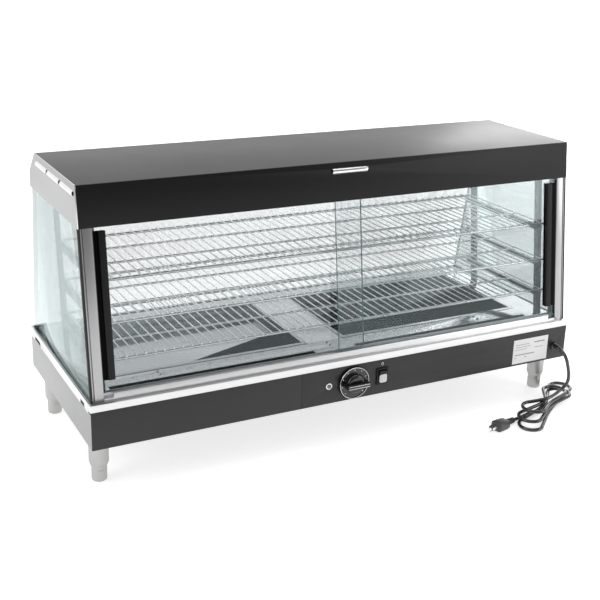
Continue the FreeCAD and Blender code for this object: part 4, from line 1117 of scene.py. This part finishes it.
# ---------------------------------------------------------------- the controls
@dataclass
class Controls:
    """The thermostat's knob, the rocker switch and the pilot lamp. Sizes are in millimetres."""

    knob_x: float = -4.0
    knob_z: float = 144.0
    grip_half: float = 29.0
    grip_front: float = 30.0
    face_y: float = -239.0
    switch_x: float = 72.0
    switch_z: float = 146.0
    mark_z: float = 175.0
    plate: tuple[float, float, float, float] = (448.0, 554.0, 107.0, 170.0)
    pilot_x: float = -67.0
    pilot_z: float = 145.0

    def knob(self) -> None:
        """Turns the knob's skirt and hub, and forms its grip."""
        outward = along(case_point(self.knob_x, self.face_y - 1.0, self.knob_z), FRONT)
        profile = [(0.0, 0.0), (37.4, 0.0), (38.0, 0.8), (38.0, 5.2), (37.6, 6.2), (37.2, 6.5), (36.0, 6.4),
                   (35.3, 4.6), (24.6, 4.6), (23.6, 5.4), (23.2, 7.0), (23.0, 9.6), (22.4, 12.4),
                   (21.2, 14.4), (19.4, 15.9), (17.0, 16.7), (14.0, 17.0), (0.0, 17.0)]
        bm = bmesh.new()
        lathe(bm, profile, outward, 72)
        low = case_point(self.knob_x - self.grip_half, self.face_y - self.grip_front, self.knob_z - 5.5)
        high = case_point(self.knob_x + self.grip_half, self.face_y - 5.5, self.knob_z + 5.5)
        block(bm, low, high, 2.2, 4)
        finished("dial_knob", bm, 32.0, KNOB_PLASTIC, "dial", "control_plastic", "thermostat_knob")
        marks = grown("dial_knob_marks", marks_tree(), {
            "Centre": case_point(self.knob_x, self.face_y - 5.75, self.knob_z), "Radius": 31.5 * MM,
            "Marks": 9, "Start": math.radians(-45.0), "Sweep": math.radians(270.0), "Dot": 1.5 * MM,
            "Thickness": 0.8 * MM, "Finish": MARK_WHITE.material()})
        wear(marks, "dial", "control_plastic")
        # Bright metal bars along the grip: painted highlights of the grip's edges.
        lines = bmesh.new()
        for side in (-1, 1):
            highlight_z = self.knob_z + side * 2.9
            block(lines, case_point(self.knob_x - 26.5, self.face_y - 30.2, highlight_z - 0.55),
                  case_point(self.knob_x + 26.5, self.face_y - 29.7, highlight_z + 0.55), 0.15, 2)
        finished("dial_grip_painted_highlights", lines, 40.0, ZINC_AND_KNOB_HIGHLIGHT, "dial", "control_plastic")
        # A bright metal ring on the skirt's rim: a painted highlight of the rounded rim.
        rim_highlight = bmesh.new()
        ring = [(36.4, 6.7), (37.3, 6.7), (37.5, 6.3), (36.2, 6.3), (36.4, 6.7)]
        lathe(rim_highlight, ring, outward, 72)
        finished("dial_rim_painted_highlight", rim_highlight, 40.0, ZINC_AND_KNOB_HIGHLIGHT, "dial", "control_plastic")
        dress("thermostat_shaft", ZINC_AND_KNOB_HIGHLIGHT)

    def switch(self) -> None:
        """Makes the switch's frame, its black rocker and the rocker's light face."""
        softened("switch_housing", SWITCH_BLACK, "control_plastic", edge=0.7)
        softened("switch_rocker", SWITCH_BLACK, "control_plastic", edge=0.4, body="rocker")
        place = (Matrix.Translation(case_point(self.switch_x, self.face_y - 5.0, self.switch_z - 4.3))
                 @ Matrix.Rotation(math.radians(-90.0), 4, "Z"))
        sections = [(-0.6, 9.8, 10.2, 5.0), (1.3, 9.8, 10.2, 5.0), (1.75, 9.5, 9.9, 5.0), (1.9, 9.0, 9.4, 5.0)]
        bm = bmesh.new()
        loft(bm, sections, place, 40)
        finished("rocker_light_face", bm, 40.0, SWITCH_WHITE, "rocker", "control_plastic")

    def pilot(self) -> None:
        """Turns the pilot lamp's bezel and its lens."""
        outward = along(case_point(self.pilot_x, self.face_y, self.pilot_z), FRONT)
        bezel = [(0.0, -22.0), (5.8, -22.0), (5.8, 0.0), (8.0, 0.0), (8.0, 1.4), (7.6, 2.4), (6.9, 3.0),
                 (5.6, 3.0), (5.1, 2.2), (0.0, 2.2)]
        lens = [(0.0, 2.0), (4.9, 2.0), (4.9, 3.6), (4.4, 5.2), (3.3, 6.3), (1.7, 6.9), (0.0, 7.0)]
        for name, profile, finish, nodes in (("pilot_bezel", bezel, WIRE_CHROME, ("pilot_lamp",)),
                                             ("pilot_lens", lens, PILOT_LENS, ())):
            bm = bmesh.new()
            lathe(bm, profile, outward, 36)
            finished(name, bm, 35.0, finish, "case", "steel_bright", *nodes)

    def print_marks(self) -> None:
        """Lays the plain print on the rating plate, and the on mark above the switch.

        Each bar has its start, its stop and its place up the plate as shares of the plate, and its height.
        """
        bars = [(0.06, 0.62, 0.36, 2.2), (0.06, 0.11, 0.24, 1.6), (0.34, 0.4, 0.24, 1.6), (0.06, 0.46, 0.78, 1.2),
                (0.06, 0.5, 0.68, 1.0), (0.06, 0.4, 0.58, 1.0), (0.6, 0.9, 0.8, 2.6), (0.6, 0.86, 0.58, 1.0)]
        low_x, high_x, low_z, high_z = self.plate
        bm = bmesh.new()
        for start, stop, up, height in bars:
            z = low_z + up * (high_z - low_z)
            block(bm, case_point(low_x + start * (high_x - low_x), self.face_y - 0.85, z - height / 2),
                  case_point(low_x + stop * (high_x - low_x), self.face_y - 0.5, z + height / 2), 0.1, 1)
        finished("rating_plate_bars", bm, 40.0, PLATE_PRINT, "case", "plate_white")
        bm = bmesh.new()
        x, z = self.switch_x, self.mark_z
        block(bm, case_point(x - 0.5, self.face_y - 0.3, z + 1.0), case_point(x + 0.5, self.face_y + 0.1, z + 5.0),
              0.1, 1)
        ring = [(2.6, -0.1), (3.5, -0.1), (3.5, 0.3), (2.6, 0.3), (2.6, -0.1)]
        lathe(bm, ring, along(case_point(x, self.face_y, z), FRONT), 24)
        finished("switch_on_mark", bm, 40.0, MARK_WHITE, "case", "control_plastic")

    def build(self) -> None:
        """Makes all the controls."""
        softened("rating_plate", PLATE_FACE, "plate_white", edge=0.3)
        self.print_marks()
        self.knob()
        self.switch()
        self.pilot()


# ---------------------------------------------------------------- the glass box
@dataclass
class GlassBox:
    """The posts, the seals, the panes and the sliding doors."""

    pane_area: float = 0.03
    groove_x: float = 0.5613

    def pane(self, node: str, body: str, finish: Finish) -> None:
        """Makes one pane, with its polished edges a deeper green.

        Args:
            node: its CAD node.
            body: the body that it rides on.
            finish: the finish of its faces.
        """
        softened(node, finish, "panel_glass", edge=0.4, body=body,
                 choose=lambda face: int(face.calc_area() < self.pane_area), extra=(PANE_EDGE,))

    def build(self) -> None:
        """Makes the whole glass box."""
        for side in ("left", "right"):
            softened("post_" + side, POST_STEEL, "steel_brushed", edge=0.5)
            self.pane("side_glass_" + side, "case", SIDE_PANE)
            self.pane("door_glass_" + side, side + "_door", PANE_GLASS)
            # Faces beyond groove_x get the groove plastic: painted shade in the handle's finger recess.
            softened("door_handle_" + side, HANDLE_FACE, "handle_plastic", edge=0.5, body=side + "_door",
                     choose=lambda face: int(abs(face.calc_center_median().x) > self.groove_x),
                     extra=(HANDLE_GROOVE_PAINTED_SHADE,))
        self.pane("customer_glass", "case", REAR_PANE)
        softened("post_seals", SEAL_RUBBER, "seal_rubber", edge=0.4)
        for node in ("door_track_bottom", "door_track_top"):
            softened(node, TRACK_STEEL, "steel_brushed", edge=0.25)


# ---------------------------------------------------------------- the shelves
@dataclass
class Shelving:
    """The wire shelves on their slotted uprights."""

    rail_radius: float = 3.2
    wire_radius: float = 1.5
    depth: float = 300.0
    rail_half: float = 576.0
    tip: float = 7.0

    def racks(self) -> None:
        """Grows the three wire shelves, and puts the black tips on their front rails."""
        tree = rack_tree()
        tips = bmesh.new()
        for level in ("bottom", "middle", "top"):
            node = "shelf_" + level
            low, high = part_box(node)
            origin = Vector((0.0, low.y + self.rail_radius * MM, high.z - self.wire_radius * MM))
            piece = grown("wire_" + node, tree, {
                "Origin": origin, "Depth": self.depth * MM, "Rail Radius": self.rail_radius * MM,
                "Wire Radius": self.wire_radius * MM, "Rail Half Length": (self.rail_half - self.tip / 2) * MM,
                "Finish": WIRE_CHROME.material()})
            wear(piece, "case", "steel_bright", node)
            rail_z = low.z + self.rail_radius * MM
            for side in (-1, 1):
                start = Vector((side * (self.rail_half - self.tip) * MM, origin.y, rail_z))
                tip = [(0.0, 0.0), (3.4, 0.0), (3.7, 0.5), (3.7, 5.6), (3.0, 6.6), (0.0, 6.9)]
                lathe(tips, tip, along(start, Vector((side, 0, 0))), 20)
        finished("shelf_rail_tips", tips, 35.0, SEAL_RUBBER, "case", "seal_rubber")

    def build(self) -> None:
        """Makes the shelves and dresses their supports."""
        self.racks()
        dress("shelf_uprights", PLATED_STEEL)
        softened("shelf_brackets", PLATED_STEEL, "steel_grey", edge=0.3)


# ---------------------------------------------------------------- the hood
@dataclass
class Hood:
    """The hood's sheets, its end caps, its liner and its lamps."""

    bulb_z: float = 585.0
    lamp_x: float = 300.0
    louvre_area: float = 0.002
    louvre_half: float = 0.052
    louvre_low: float = 0.6125
    louvre_high: float = 0.6255
    cap_face: float = 0.6066
    cap_skin: float = 0.0016

    def front_louvre(self, face: bmesh.types.BMFace) -> int:
        """Says whether a face of the hood's front is on its louvre."""
        x, _, z = face.calc_center_median()
        return int(abs(x) < self.louvre_half and self.louvre_low < z < self.louvre_high
                   and face.calc_area() < self.louvre_area)

    # The faces picked here get the bright louvre steel: a painted highlight on the caps' louvres and rim.
    def cap_highlight_faces(self, face: bmesh.types.BMFace) -> int:
        """Says whether a face of an end cap is on a louvre or on the cap's rim."""
        x = abs(face.calc_center_median().x)
        return int(x > self.cap_face or (x > self.cap_face - self.cap_skin and abs(face.normal.x) < 0.9))

    def lamps(self) -> None:
        """Turns the bulbs."""
        bm = bmesh.new()
        profile = [(0.0, -22.0), (6.0, -21.1), (12.0, -18.4), (17.5, -13.3), (21.2, -5.8), (22.0, 0.0),
                   (21.2, 5.8), (18.0, 12.6), (13.8, 18.0), (12.0, 22.0), (12.0, 25.8), (0.0, 25.8)]
        for side in (-1, 1):
            centre = Matrix.Translation(case_point(side * self.lamp_x, 0.0, self.bulb_z))
            lathe(bm, profile, centre, 32)
        finished("frosted_bulbs", bm, 40.0, BULB_FROST, "case", "bulb_glass", "lamp_bulbs")

    def build(self) -> None:
        """Makes the whole hood."""
        for node in ("hood_top", "hood_rear"):
            softened(node, HOOD_TOP_ENAMEL, "steel_black", edge=0.4)
        softened("hood_front", HOOD_FACE_ENAMEL, "steel_black", edge=0.4, choose=self.front_louvre,
                 extra=(LOUVRE_STEEL_AND_CAP_HIGHLIGHT,))
        # The end caps' louvres and rim wear the bright louvre steel as a painted highlight.
        for node in ("hood_end_left", "hood_end_right"):
            softened(node, CAP_STEEL, "steel_brushed", edge=0.6, choose=self.cap_highlight_faces, extra=(LOUVRE_STEEL_AND_CAP_HIGHLIGHT,))
        dress("hood_liner", LINER_STEEL)
        dress("lamp_sockets", PORCELAIN)
        self.lamps()


@dataclass
class Fasteners:
    """The cross-head screws of the deck and the rear panel."""

    head_radius: float = 4.0
    head_height: float = 2.2
    deck_top: float = 203.6
    rear_y: float = 239.0

    def build(self) -> None:
        """Grows the screws in place of the plain ones."""
        places, ways = [], []
        for x in (-430, -17, 400):
            for y in (-150, -134):
                places.append(case_point(x, y, self.deck_top))
                ways.append(Vector((0, 0, 1)))
        for x in (-580, -200, 200, 580):
            for z in (116, 172):
                places.append(case_point(x, self.rear_y, z))
                ways.append(Vector((0, 1, 0)))
        piece = grown("cross_head_screws", screw_tree(), {
            "Head Radius": self.head_radius * MM, "Head Height": self.head_height * MM,
            "Finish": ZINC_AND_KNOB_HIGHLIGHT.material()}, places, ways)
        wear(piece, "case", "steel_bright", "case_screws")


def main() -> None:
    """Builds the studio and the display case, piece by piece."""
    logging.basicConfig(level=logging.INFO, format="%(message)s")
    studio = Studio()
    studio.camera()
    MainsLead().build()
    studio.lights()
    studio.sky()
    studio.floor()
    for part in (HeatedBase(), Controls(), GlassBox(), Shelving(), Hood(), Fasteners()):
        LOG.info("building %s", type(part).__name__)
        part.build()


if __name__ == "__main__":
    main()
